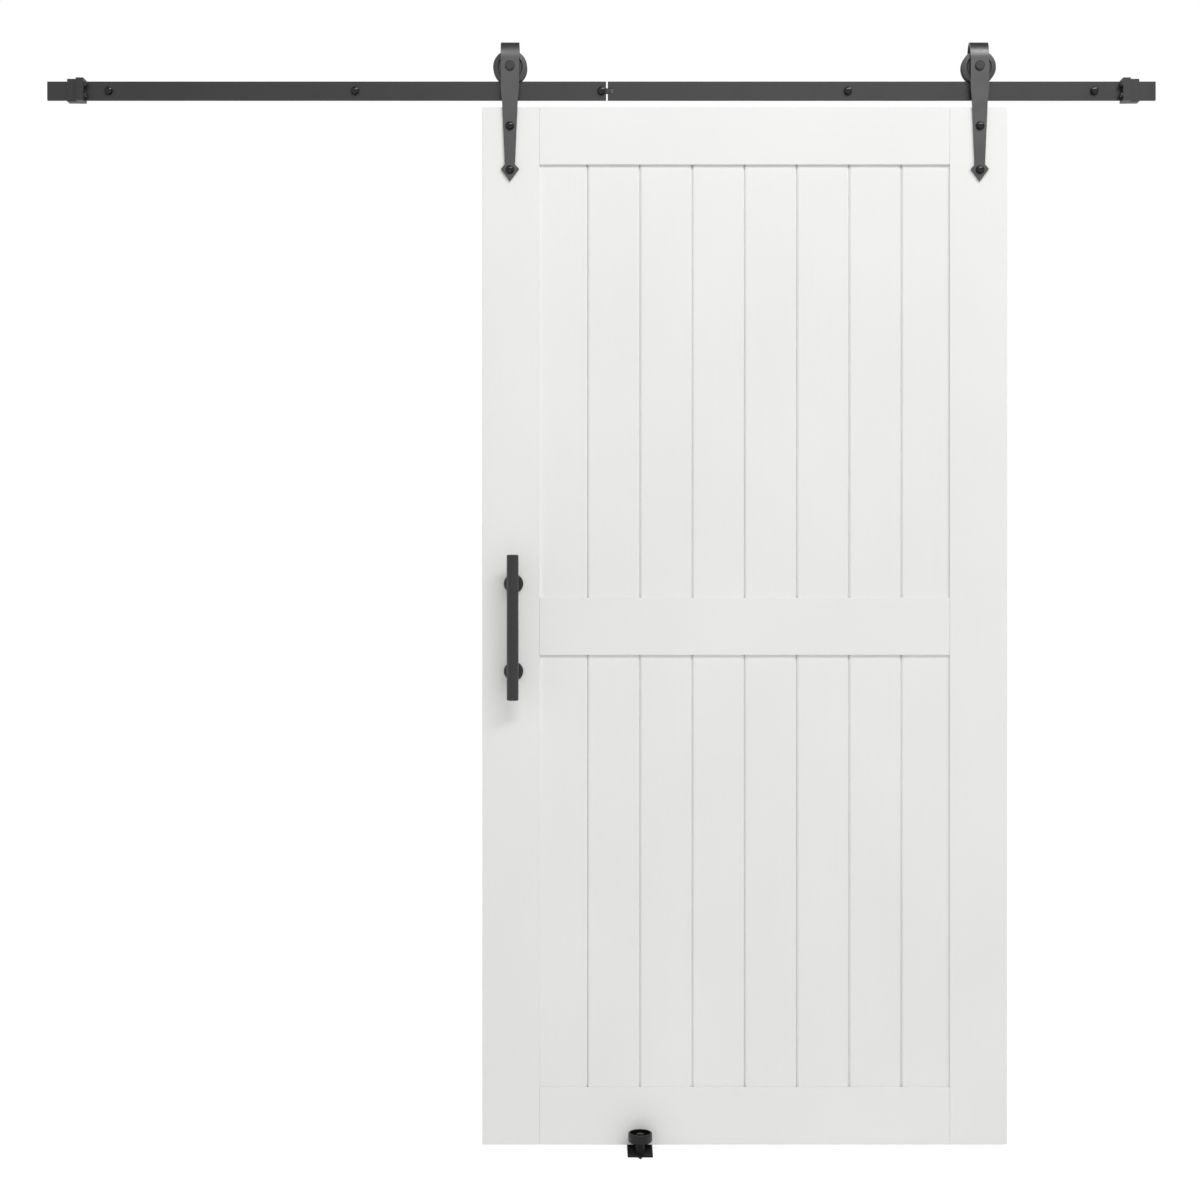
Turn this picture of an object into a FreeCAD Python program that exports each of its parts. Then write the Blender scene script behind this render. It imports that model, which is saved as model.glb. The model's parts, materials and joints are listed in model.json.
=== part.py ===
import FreeCAD, Part
import Sketcher
import os

# Sliding barn door on a wall rail: rail, end stops, hangers with grooved wheels, door slab,
# pull handle and floor guide.  Millimetres, +Z up, the room on the -Y side, the wall plane at Y = 0.
# The origin is where the axis of the middle wall screw passes through the wall plane.

doc = FreeCAD.newDocument("sliding_barn_door")
sheet = doc.addObject("Spreadsheet::Sheet", "Sizes")

SIZES = {
    # rail and its wall fixings
    "rail_length": 2286.0,
    "rail_height": 38.8,
    "rail_thickness": 6.0,
    "seam_offset": 11.3,
    "seam_gap": 3.4,
    "tongue_height": 10.8,
    "notch_depth": 9.0,
    "joint_gap": 0.3,
    "wall_gap": 30.0,
    "spacer_radius": 9.5,
    "screw_pitch": 508.0,
    "screw_hole_radius": 5.5,
    "screw_shank_radius": 4.75,
    "screw_core_radius": 4.4,
    "screw_wall_depth": 17.0,
    "screw_tip_length": 8.0,
    "screw_head_radius": 8.2,
    "screw_head_height": 6.4,
    "wall_washer_radius": 8.75,
    "wall_washer_thickness": 1.5,
    # end stops
    "stop_height": 47.0,
    "sleeve_length": 20.5,
    "sleeve_front": 5.0,
    "collar_length": 15.5,
    "collar_front": 14.0,
    "stop_back": 5.0,
    "left_stop_face": -1064.4,
    "right_stop_face": 1071.6,
    "button_radius": 5.0,
    "button_length": 6.4,
    "button_pitch": 21.7,
    "button_stem_radius": 3.0,
    "button_stem_length": 8.0,
    "button_setback": 5.0,
    "button_shoulder": 4.5,
    "button_crown_radius": 3.5,
    "grub_radius": 2.5,
    "grub_pitch": 20.0,
    # hangers
    "hanger_spread": 965.2,
    "axle_height": 47.7,
    "strap_width": 38.0,
    "strap_thickness": 5.0,
    "strap_gap": 26.0,
    "arch_rise": 34.5,
    "rear_leg_drop": 20.0,
    "rear_leg_round": 14.0,
    "shoulder_top": 46.0,
    "shoulder_bottom": 74.0,
    "shoulder_width": 32.0,
    "shoulder_round": 90.0,
    "neck_drop": 203.0,
    "neck_width": 20.9,
    "barb_drop": 212.0,
    "barb_width": 37.2,
    "tip_drop": 237.0,
    "upper_bolt_drop": 124.0,
    "bolt_pitch": 90.0,
    # axles and bearings
    "axle_radius": 4.95,
    "axle_fit": 0.05,
    "axle_head_radius": 9.8,
    "axle_head_height": 4.5,
    "axle_head_bevel": 1.2,
    "axle_end": 27.0,
    "axle_nut_radius": 9.2,
    "axle_nut_height": 7.0,
    "bearing_radius": 13.0,
    "bearing_width": 8.0,
    "inner_ring_radius": 7.2,
    "outer_ring_bore": 10.7,
    "shield_bore": 7.5,
    "shield_thickness": 0.8,
    "ball_radius": 1.6,
    "ball_circle_radius": 8.95,
    "press_gap": 0.02,
    # wheels
    "wheel_radius": 35.0,
    "wheel_groove_radius": 28.0,
    "wheel_width": 22.0,
    "groove_floor": 8.4,
    "groove_mouth": 12.4,
    "wheel_dish_outer": 25.5,
    "wheel_dish_inner": 16.0,
    "wheel_dish_depth": 2.0,
    "wheel_shoulder_bore": 11.2,
    "wheel_edge": 1.0,
    "wheel_dish_slope": 1.5,
    # door slab
    "door_width": 1079.5,
    "door_height": 2133.6,
    "door_thickness": 35.0,
    "door_offset": 294.5,
    "door_drop": 36.3,
    "stile_width": 118.0,
    "cross_rail_height": 118.0,
    "middle_rail_base": 1007.0,
    "panel_recess": 6.0,
    "panel_thickness": 20.0,
    "panel_rebate": 10.0,
    "panel_play": 0.2,
    "plank_pitch": 107.7,
    "plank_gap": 0.4,
    "plank_bevel": 3.5,
    "plank_tongue": 6.0,
    # door bolts
    "door_bolt_radius": 4.0,
    "door_bolt_fit": 0.1,
    "door_washer_radius": 9.3,
    "door_washer_thickness": 1.5,
    "door_bolt_head_radius": 7.5,
    "door_bolt_head_height": 6.0,
    "door_bolt_end": 29.0,
    "door_nut_radius": 7.5,
    "door_nut_height": 5.0,
    "door_nut_flange_radius": 9.5,
    "door_nut_flange_height": 1.5,
    # pull handle
    "handle_inset": 64.7,
    "handle_height": 1063.8,
    "handle_length": 296.0,
    "handle_radius": 12.1,
    "handle_end_bevel": 1.5,
    "handle_standoff": 42.0,
    "post_pitch": 180.0,
    "post_radius": 9.0,
    "rosette_radius": 20.0,
    "rosette_thickness": 5.0,
    "rosette_bevel": 1.5,
    "handle_screw_radius": 3.0,
    "handle_screw_depth": 22.0,
    "handle_screw_play": 2.0,
    "handle_screw_head_radius": 6.0,
    "handle_screw_head_height": 3.5,
    "handle_washer_radius": 8.0,
    "handle_washer_thickness": 1.2,
    # floor guide
    "floor_gap": 13.0,
    "guide_offset": 79.0,
    "guide_radius": 24.4,
    "guide_clearance": 0.3,
    "guide_base": 27.0,
    "guide_height": 19.0,
    "guide_recess_radius": 20.8,
    "guide_recess_depth": 8.0,
    "guide_round": 1.6,
    "bush_radius": 6.0,
    "bush_fit": 0.05,
    "bush_flange": 1.0,
    "guide_bolt_radius": 4.0,
    "guide_bolt_lift": 0.5,
    "guide_bolt_fit": 0.1,
    "guide_bolt_head_radius": 8.0,
    "guide_bolt_head_height": 5.3,
    "guide_washer_radius": 9.0,
    "guide_washer_thickness": 1.5,
    "guide_post_top_radius": 9.5,
    "guide_post_bottom_radius": 8.0,
    "plate_width": 52.0,
    "plate_thickness": 4.0,
    "plate_front": 16.0,
    "plate_nib_width": 11.0,
    "plate_nib_length": 12.5,
    "plate_lip_height": 30.0,
    "plate_wall_gap": 4.0,
    "floor_hole_radius": 2.75,
    "floor_hole_pitch": 32.0,
    "floor_hole_wall_gap": 28.0,
    "glide_width": 40.0,
    "glide_thickness": 2.7,
    "glide_height": 14.0,
}

for row, (alias, value) in enumerate(SIZES.items(), start=1):
    sheet.set(f"A{row}", alias)
    sheet.set(f"B{row}", str(value))
    sheet.setAlias(f"B{row}", alias)
doc.recompute()

SCREW_COUNT = 5
PLANK_COUNT = 8
BALL_COUNT = 8
SIDES = (("left", -1), ("right", 1))

# Derived places, as expressions on the sheet.
RAIL_Y = "-(Sizes.wall_gap + Sizes.rail_thickness / 2)"
RAIL_FRONT = "Sizes.wall_gap + Sizes.rail_thickness"
DOOR_FRONT = "-(Sizes.wall_gap + (Sizes.rail_thickness + Sizes.strap_gap) / 2)"
DOOR_LEFT = "Sizes.door_offset - Sizes.door_width / 2"
DOOR_BOTTOM = "-(Sizes.door_drop + Sizes.door_height)"
FLOOR = "-(Sizes.door_drop + Sizes.door_height + Sizes.floor_gap)"
OPENING = "Sizes.door_width - 2 * Sizes.stile_width"
GUIDE_Y = f"{DOOR_FRONT} - Sizes.guide_radius - Sizes.guide_clearance"
STRAP_FACE = "Sizes.strap_gap / 2 + Sizes.strap_thickness"


def number(expression):
    """Value of an expression on the sheet."""
    return float(sheet.evalExpression(str(expression)))


def new_body(label):
    body = doc.addObject("PartDesign::Body", label)
    body.Label = label
    return body


def place(thing, across="0", depth="0", up="0"):
    """Bind the object's own Placement to expressions in X, Y and Z."""
    for axis, expression in zip("xyz", (across, depth, up)):
        if expression != "0":
            thing.setExpression(f"Placement.Base.{axis}", expression)


def origin_item(body, role):
    return next(item for item in body.Origin.OriginFeatures if item.Role == role)


def sketch_on(body, role, offset=None):
    """Sketch on one of the body's origin planes, moved along the plane's normal."""
    sketch = body.newObject("Sketcher::SketchObject", f"{body.Name}_sketch")
    sketch.AttachmentSupport = [(origin_item(body, role), "")]
    sketch.MapMode = "FlatFace"
    if offset:
        sketch.setExpression("AttachmentOffset.Base.z", offset)
    return sketch


def bound(sketch, kind, edge, point, value, name, expression):
    """Add a dimension whose value follows an expression."""
    index = sketch.addConstraint(Sketcher.Constraint(kind, edge, point, value))
    sketch.renameConstraint(index, name)
    sketch.setExpression(f"Constraints.{name}", str(expression))


def draw_polygon(sketch, corners):
    """Closed outline with one dimensioned corner per (across, up) pair of expressions."""
    first = sketch.GeometryCount
    points = [FreeCAD.Vector(number(across), number(up), 0) for across, up in corners]
    count = len(points)
    for index, start in enumerate(points):
        sketch.addGeometry(Part.LineSegment(start, points[(index + 1) % count]))
    for index in range(count):
        following = first + (index + 1) % count
        sketch.addConstraint(Sketcher.Constraint("Coincident", first + index, 2, following, 1))
    for index, (across, up) in enumerate(corners):
        edge = first + index
        bound(sketch, "DistanceX", edge, 1, points[index].x, f"across_{edge}", across)
        bound(sketch, "DistanceY", edge, 1, points[index].y, f"up_{edge}", up)


def draw_rectangle(sketch, left, bottom, right, top):
    draw_polygon(sketch, [(left, bottom), (right, bottom), (right, top), (left, top)])


def draw_circle(sketch, radius, across="0", up="0"):
    centre = FreeCAD.Vector(number(across), number(up), 0)
    circle = Part.Circle(centre, FreeCAD.Vector(0, 0, 1), number(radius))
    edge = sketch.addGeometry(circle)
    index = sketch.addConstraint(Sketcher.Constraint("Radius", edge, number(radius)))
    sketch.renameConstraint(index, f"radius_{edge}")
    sketch.setExpression(f"Constraints.radius_{edge}", str(radius))
    bound(sketch, "DistanceX", edge, 3, centre.x, f"across_{edge}", across)
    bound(sketch, "DistanceY", edge, 3, centre.y, f"up_{edge}", up)


def pad(body, sketch, length, backward=False):
    feature = body.newObject("PartDesign::Pad", f"{body.Name}_pad")
    feature.Profile = sketch
    feature.Reversed = backward
    feature.setExpression("Length", length)
    return feature


def pocket(body, sketch, depth, backward=False):
    """Pocket that must take material away."""
    doc.recompute()
    before = body.Shape.Volume
    feature = body.newObject("PartDesign::Pocket", f"{body.Name}_pocket")
    feature.Profile = sketch
    feature.Reversed = backward
    feature.setExpression("Length", depth)
    doc.recompute()
    if body.Shape.Volume >= before:
        raise RuntimeError(f"{body.Label}: the pocket cut nothing")
    return feature


def turn(body, sketch, axis="V_Axis", angle=360):
    feature = body.newObject("PartDesign::Revolution", f"{body.Name}_turn")
    feature.Profile = sketch
    feature.ReferenceAxis = (sketch, [axis])
    feature.Angle = angle
    return feature


def turned(label, profile, along="Y"):
    """Body turned about its own X, Y or Z axis; the profile pairs are (radius, along axis)."""
    body = new_body(label)
    add_turned(body, profile, along)
    return body


def add_turned(body, profile, along="Y"):
    sketch = sketch_on(body, "XZ_Plane" if along == "Z" else "XY_Plane")
    if along == "X":
        draw_polygon(sketch, [(reach, radius) for radius, reach in profile])
        return turn(body, sketch, "H_Axis")
    draw_polygon(sketch, profile)
    return turn(body, sketch)


def tube_profile(bore, radius, start, end):
    return [(bore, start), (radius, start), (radius, end), (bore, end)]


def add_hexagon(body, circumradius, height, start, toward_room=True):
    """Hexagonal prism along Y from start, growing towards the room or towards the wall."""
    prism = body.newObject("PartDesign::AdditivePrism", f"{body.Name}_hexagon")
    prism.Polygon = 6
    prism.setExpression("Circumradius", circumradius)
    prism.setExpression("Height", height)
    quarter = 90 if toward_room else -90
    prism.Placement = FreeCAD.Placement(
        FreeCAD.Vector(0, number(start), 0),
        FreeCAD.Rotation(FreeCAD.Vector(1, 0, 0), quarter),
    )
    prism.setExpression("Placement.Base.y", start)
    return prism


def repeat(body, role, length, count, second=None):
    """Repeat the whole body along one origin axis, or along two."""
    pattern = body.newObject("PartDesign::LinearPattern", f"{body.Name}_row")
    pattern.TransformMode = "Whole shape"
    pattern.Direction = (origin_item(body, role), [""])
    pattern.setExpression("Length", length)
    pattern.Occurrences = count
    if second:
        second_role, second_length, second_count = second
        pattern.Direction2 = (origin_item(body, second_role), [""])
        pattern.setExpression("Length2", second_length)
        pattern.Occurrences2 = second_count
    body.Tip = pattern
    return pattern


def edges_along_y(shape, spots):
    """Names of the edges along Y that pass through the given (x, z) spots."""
    names = []
    for index, edge in enumerate(shape.Edges, start=1):
        box = edge.BoundBox
        if box.XLength > 0.01 or box.ZLength > 0.01:
            continue
        for across, up in spots:
            if abs(box.XMin - across) < 0.01 and abs(box.ZMin - up) < 0.01:
                names.append(f"Edge{index}")
    return names


def round_edges(body, base, spots, radius):
    doc.recompute()
    feature = body.newObject("PartDesign::Fillet", f"{body.Name}_round")
    feature.Base = (base, edges_along_y(base.Shape, spots))
    feature.setExpression("Radius", radius)
    doc.recompute()
    return feature


def screw_spots(first, last):
    """Expressions for the wall screws' places from number first to number last, 0 in the middle."""
    return [f"{index} * Sizes.screw_pitch" for index in range(first, last + 1)]


# ---------------------------------------------------------------- rail


def make_rail_section(label, corners, spots):
    body = new_body(label)
    sketch = sketch_on(body, "XZ_Plane", "Sizes.wall_gap")
    draw_polygon(sketch, corners)
    for across in spots:
        draw_circle(sketch, "Sizes.screw_hole_radius", across)
    pad(body, sketch, "Sizes.rail_thickness")


def make_rail():
    top = "Sizes.rail_height / 2"
    bottom = "-Sizes.rail_height / 2"
    tongue = "Sizes.tongue_height / 2"
    notch = f"{tongue} + Sizes.joint_gap"
    left_edge = "Sizes.seam_offset - Sizes.seam_gap / 2"
    right_edge = "Sizes.seam_offset + Sizes.seam_gap / 2"
    notch_floor = f"{right_edge} + Sizes.notch_depth"
    tongue_tip = f"{notch_floor} - Sizes.joint_gap"
    far_left = "-Sizes.rail_length / 2"
    far_right = "Sizes.rail_length / 2"
    left_corners = [
        (far_left, bottom), (left_edge, bottom), (left_edge, f"-{tongue}"), (tongue_tip, f"-{tongue}"),
        (tongue_tip, tongue), (left_edge, tongue), (left_edge, top), (far_left, top),
    ]
    right_corners = [
        (right_edge, bottom), (far_right, bottom), (far_right, top), (right_edge, top),
        (right_edge, notch), (notch_floor, notch), (notch_floor, f"-({notch})"), (right_edge, f"-({notch})"),
    ]
    make_rail_section("rail_left", left_corners, screw_spots(-2, 0))
    make_rail_section("rail_right", right_corners, screw_spots(1, 2))


def make_wall_rings(label, start, length, radius):
    """One ring per wall screw, growing from start towards the room."""
    body = new_body(label)
    sketch = sketch_on(body, "XZ_Plane", start)
    for across in screw_spots(-2, 2):
        draw_circle(sketch, radius, across)
        draw_circle(sketch, "Sizes.screw_hole_radius", across)
    pad(body, sketch, length)


def make_wall_screws():
    head = "-(Sizes.wall_gap + Sizes.rail_thickness + Sizes.wall_washer_thickness)"
    profile = [
        ("0", head),
        ("Sizes.screw_shank_radius", head),
        ("Sizes.screw_shank_radius", "0"),
        ("Sizes.screw_core_radius", "0"),
        ("Sizes.screw_core_radius", "Sizes.screw_wall_depth"),
        ("0", "Sizes.screw_wall_depth + Sizes.screw_tip_length"),
    ]
    body = turned("wall_screws", profile)
    add_hexagon(body, "Sizes.screw_head_radius", "Sizes.screw_head_height", head)
    repeat(body, "X_Axis", f"{SCREW_COUNT - 1} * Sizes.screw_pitch", SCREW_COUNT)
    place(body, "-2 * Sizes.screw_pitch")


# ---------------------------------------------------------------- end stops


def make_stop_block(label, start, length, front):
    """Block around the rail, with a slot a little larger than the rail's section."""
    body = new_body(label)
    sketch = sketch_on(body, "YZ_Plane", start)
    slot_half = "Sizes.rail_height / 2 + Sizes.joint_gap"
    slot_front = f"-({RAIL_FRONT} + Sizes.joint_gap)"
    slot_back = "-(Sizes.wall_gap - Sizes.joint_gap)"
    half = "Sizes.stop_height / 2"
    draw_rectangle(sketch, f"-({RAIL_FRONT} + {front})", f"-{half}", f"{slot_back} + Sizes.stop_back", half)
    draw_rectangle(sketch, slot_front, f"-({slot_half})", slot_back, slot_half)
    pad(body, sketch, length)
    return body


def make_stop(side, sign):
    face = f"Sizes.{side}_stop_face"
    button_y = f"-({RAIL_FRONT} + Sizes.collar_front - Sizes.button_setback)"
    collar_start = face if sign > 0 else f"{face} - Sizes.collar_length"
    sleeve_start = f"{face} + Sizes.collar_length" if sign > 0 else f"{collar_start} - Sizes.sleeve_length"
    collar = make_stop_block(f"{side}_stop_collar", collar_start, "Sizes.collar_length", "Sizes.collar_front")
    holes = sketch_on(collar, "YZ_Plane", face)
    for up in ("-Sizes.button_pitch / 2", "Sizes.button_pitch / 2"):
        draw_circle(holes, "Sizes.button_stem_radius + Sizes.door_bolt_fit", button_y, up)
    pocket(collar, holes, "Sizes.button_stem_length + Sizes.joint_gap", backward=sign > 0)

    sleeve = make_stop_block(f"{side}_stop_sleeve", sleeve_start, "Sizes.sleeve_length", "Sizes.sleeve_front")
    grub_x = f"{sleeve_start} + Sizes.sleeve_length / 2"
    holes = sketch_on(sleeve, "XZ_Plane")
    for up in ("-Sizes.grub_pitch / 2", "Sizes.grub_pitch / 2"):
        draw_circle(holes, "Sizes.grub_radius + Sizes.axle_fit", grub_x, up)
    pocket(sleeve, holes, "Sizes.wall_gap", backward=True)

    make_stop_buttons(side, sign, face, button_y)
    grubs = turned(f"{side}_stop_grub_screws", [
        ("0", "0"), ("Sizes.grub_radius", "0"), ("Sizes.grub_radius", "Sizes.stop_back"),
        ("0", "Sizes.stop_back"),
    ])
    repeat(grubs, "Z_Axis", "Sizes.grub_pitch", 2)
    place(grubs, grub_x, "-(Sizes.wall_gap - Sizes.joint_gap)", "-Sizes.grub_pitch / 2")


def make_stop_buttons(side, sign, face, button_y):
    """Two rubber buttons that point towards the middle of the rail."""
    inward = "-" if sign > 0 else ""
    outward = "" if sign > 0 else "-"
    body = turned(f"{side}_stop_buttons", [
        ("0", f"{outward}Sizes.button_stem_length"),
        ("Sizes.button_stem_radius", f"{outward}Sizes.button_stem_length"),
        ("Sizes.button_stem_radius", "0"),
        ("Sizes.button_radius", "0"),
        ("Sizes.button_radius", f"{inward}Sizes.button_shoulder"),
        ("Sizes.button_crown_radius", f"{inward}Sizes.button_length"),
        ("0", f"{inward}Sizes.button_length"),
    ], along="X")
    repeat(body, "Z_Axis", "Sizes.button_pitch", 2)
    place(body, face, button_y, "-Sizes.button_pitch / 2")


# ---------------------------------------------------------------- hangers


def hanger_place(sign):
    """Where a hanger's axle crosses the rail's centre plane."""
    return f"Sizes.door_offset + {sign} * Sizes.hanger_spread / 2", RAIL_Y, "Sizes.axle_height"


def strap_outline():
    """Front leg from the arch down to the arrow tip, about the axle."""
    right = [
        ("Sizes.strap_width / 2", "Sizes.arch_rise"),
        ("Sizes.strap_width / 2", "-Sizes.shoulder_top"),
        ("Sizes.shoulder_width / 2", "-Sizes.shoulder_bottom"),
        ("Sizes.neck_width / 2", "-Sizes.neck_drop"),
        ("Sizes.barb_width / 2", "-Sizes.barb_drop"),
    ]
    left = [(f"-{across}", up) for across, up in reversed(right)]
    return right + [("0", "-Sizes.tip_drop")] + left


def make_strap(side, sign):
    body = new_body(f"{side}_strap")
    hole = "Sizes.axle_radius + Sizes.axle_fit"
    half_gap = "Sizes.strap_gap / 2"

    front = sketch_on(body, "XZ_Plane", half_gap)
    draw_polygon(front, strap_outline())
    draw_circle(front, hole)
    for drop in ("Sizes.upper_bolt_drop", "Sizes.upper_bolt_drop + Sizes.bolt_pitch"):
        draw_circle(front, "Sizes.door_bolt_radius + Sizes.door_bolt_fit", "0", f"-({drop})")
    leg = pad(body, front, "Sizes.strap_thickness")
    shoulders = [
        (turn_sign * number(width) / 2, -number(drop))
        for turn_sign in (-1, 1)
        for width, drop in (
            ("Sizes.strap_width", "Sizes.shoulder_top"),
            ("Sizes.shoulder_width", "Sizes.shoulder_bottom"),
        )
    ]
    round_edges(body, leg, shoulders, "Sizes.shoulder_round")

    arch = sketch_on(body, "XY_Plane", "Sizes.arch_rise")
    half_width = "Sizes.strap_width / 2"
    draw_rectangle(arch, f"-{half_width}", half_gap, half_width, STRAP_FACE)
    turn(body, arch, "H_Axis", 180)

    rear = sketch_on(body, "XZ_Plane", f"-({half_gap})")
    draw_rectangle(rear, f"-{half_width}", "-Sizes.rear_leg_drop", half_width, "Sizes.arch_rise")
    draw_circle(rear, hole)
    leg = pad(body, rear, "Sizes.strap_thickness", backward=True)
    corners = [(turn_sign * number(half_width), -number("Sizes.rear_leg_drop")) for turn_sign in (-1, 1)]
    round_edges(body, leg, corners, "Sizes.rear_leg_round")
    place(body, *hanger_place(sign))


def wheel_profile():
    half = "Sizes.wheel_width / 2"
    seat = "Sizes.bearing_width / 2"
    edge = "Sizes.wheel_edge"
    wall = "Sizes.wheel_dish_slope"

    def dish(end):
        """Dished face, from the rim inwards; end is the face's sign."""
        face = f"{end}{half}"
        floor = f"{end}({half} - Sizes.wheel_dish_depth)"
        return [
            ("Sizes.wheel_dish_outer", face),
            (f"Sizes.wheel_dish_outer - {wall}", floor),
            (f"Sizes.wheel_dish_inner + {wall}", floor),
            ("Sizes.wheel_dish_inner", face),
        ]

    front = list(reversed(dish("-")))
    rim = [
        (f"Sizes.wheel_radius - {edge}", f"-{half}"),
        ("Sizes.wheel_radius", f"-({half} - {edge})"),
        ("Sizes.wheel_radius", "-Sizes.groove_mouth / 2"),
        ("Sizes.wheel_groove_radius", "-Sizes.groove_floor / 2"),
        ("Sizes.wheel_groove_radius", "Sizes.groove_floor / 2"),
        ("Sizes.wheel_radius", "Sizes.groove_mouth / 2"),
        ("Sizes.wheel_radius", f"{half} - {edge}"),
        (f"Sizes.wheel_radius - {edge}", half),
    ]
    bore = [
        ("Sizes.bearing_radius", half),
        ("Sizes.bearing_radius", f"-{seat}"),
        ("Sizes.wheel_shoulder_bore", f"-{seat}"),
        ("Sizes.wheel_shoulder_bore", f"-{half}"),
    ]
    return front + rim + dish("") + bore


def make_wheel(side, sign):
    place(turned(f"{side}_wheel", wheel_profile()), *hanger_place(sign))


def make_bearing_outer_ring(side, sign):
    """Outer ring with a thin shield over the balls on each face."""
    half = "Sizes.bearing_width / 2"
    shelf = f"{half} - Sizes.shield_thickness"
    outside = "Sizes.bearing_radius - Sizes.press_gap"
    profile = [
        ("Sizes.shield_bore", f"-({half})"), (outside, f"-({half})"), (outside, half),
        ("Sizes.shield_bore", half), ("Sizes.shield_bore", shelf), ("Sizes.outer_ring_bore", shelf),
        ("Sizes.outer_ring_bore", f"-({shelf})"), ("Sizes.shield_bore", f"-({shelf})"),
    ]
    place(turned(f"{side}_bearing_outer_ring", profile), *hanger_place(sign))


def make_bearing_balls(side, sign):
    body = new_body(f"{side}_bearing_balls")
    ball = body.newObject("PartDesign::AdditiveSphere", f"{side}_ball")
    ball.setExpression("Radius", "Sizes.ball_radius")
    ball.setExpression("Placement.Base.x", "Sizes.ball_circle_radius")
    circle = body.newObject("PartDesign::PolarPattern", f"{side}_ball_circle")
    circle.Originals = [ball]
    circle.Axis = (origin_item(body, "Y_Axis"), [""])
    circle.Angle = 360
    circle.Occurrences = BALL_COUNT
    body.Tip = circle
    place(body, *hanger_place(sign))


def place_pair(body):
    """Repeat what sits on the left hanger on the right one."""
    repeat(body, "X_Axis", "Sizes.hanger_spread", 2)
    place(body, *hanger_place(-1))


def make_axle_parts():
    bore = "Sizes.axle_radius + Sizes.axle_fit"
    ring_half = "Sizes.bearing_width / 2"
    head = f"-({STRAP_FACE} + Sizes.axle_head_height)"
    bolts = turned("axle_bolts", [
        ("0", head),
        ("Sizes.axle_head_radius - Sizes.axle_head_bevel", head),
        ("Sizes.axle_head_radius", f"{head} + Sizes.axle_head_bevel"),
        ("Sizes.axle_head_radius", f"-({STRAP_FACE})"),
        ("Sizes.axle_radius", f"-({STRAP_FACE})"),
        ("Sizes.axle_radius", "Sizes.axle_end"),
        ("0", "Sizes.axle_end"),
    ])
    place_pair(bolts)

    nuts = new_body("axle_nuts")
    add_hexagon(nuts, "Sizes.axle_nut_radius", "Sizes.axle_nut_height", STRAP_FACE, toward_room=False)
    hole = sketch_on(nuts, "XZ_Plane")
    draw_circle(hole, bore)
    pocket(nuts, hole, "Sizes.wall_gap", backward=False)
    place_pair(nuts)

    spacers = new_body("axle_spacers")
    for start, end in (("-Sizes.strap_gap / 2", f"-{ring_half}"), (ring_half, "Sizes.strap_gap / 2")):
        add_turned(spacers, tube_profile(bore, "Sizes.inner_ring_radius", start, end))
    place_pair(spacers)

    rings = turned("bearing_inner_rings", tube_profile(bore, "Sizes.inner_ring_radius", f"-{ring_half}", ring_half))
    place_pair(rings)


def place_bolt_grid(body):
    """Repeat a part for the two door bolts of each strap."""
    repeat(body, "X_Axis", "Sizes.hanger_spread", 2, ("Z_Axis", "Sizes.bolt_pitch", 2))
    across, depth, up = hanger_place(-1)
    place(body, across, depth, f"{up} - Sizes.upper_bolt_drop - Sizes.bolt_pitch")


def make_door_bolts():
    washer_face = f"-({STRAP_FACE} + Sizes.door_washer_thickness)"
    door_back = "Sizes.door_thickness - Sizes.strap_gap / 2"
    bore = "Sizes.door_bolt_radius + Sizes.door_bolt_fit"

    bolts = turned("door_bolts", [
        ("0", washer_face),
        ("Sizes.door_bolt_radius", washer_face),
        ("Sizes.door_bolt_radius", "Sizes.door_bolt_end"),
        ("0", "Sizes.door_bolt_end"),
    ])
    add_hexagon(bolts, "Sizes.door_bolt_head_radius", "Sizes.door_bolt_head_height", washer_face)
    place_bolt_grid(bolts)

    washers = turned("door_bolt_washers", tube_profile(
        bore, "Sizes.door_washer_radius", washer_face, f"-({STRAP_FACE})"))
    place_bolt_grid(washers)

    flange_end = f"{door_back} + Sizes.door_nut_flange_height"
    nuts = turned("door_bolt_nuts", tube_profile(bore, "Sizes.door_nut_flange_radius", door_back, flange_end))
    add_hexagon(nuts, "Sizes.door_nut_radius", "Sizes.door_nut_height", flange_end, toward_room=False)
    hole = sketch_on(nuts, "XZ_Plane")
    draw_circle(hole, bore)
    pocket(nuts, hole, "Sizes.door_thickness")
    place_bolt_grid(nuts)


# ---------------------------------------------------------------- door slab


def groove_band():
    """Front and back of the groove that holds the planks, from the door's front face."""
    front = "Sizes.panel_recess - Sizes.panel_play"
    back = "Sizes.panel_recess + Sizes.panel_thickness + Sizes.panel_play"
    return front, back


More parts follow.
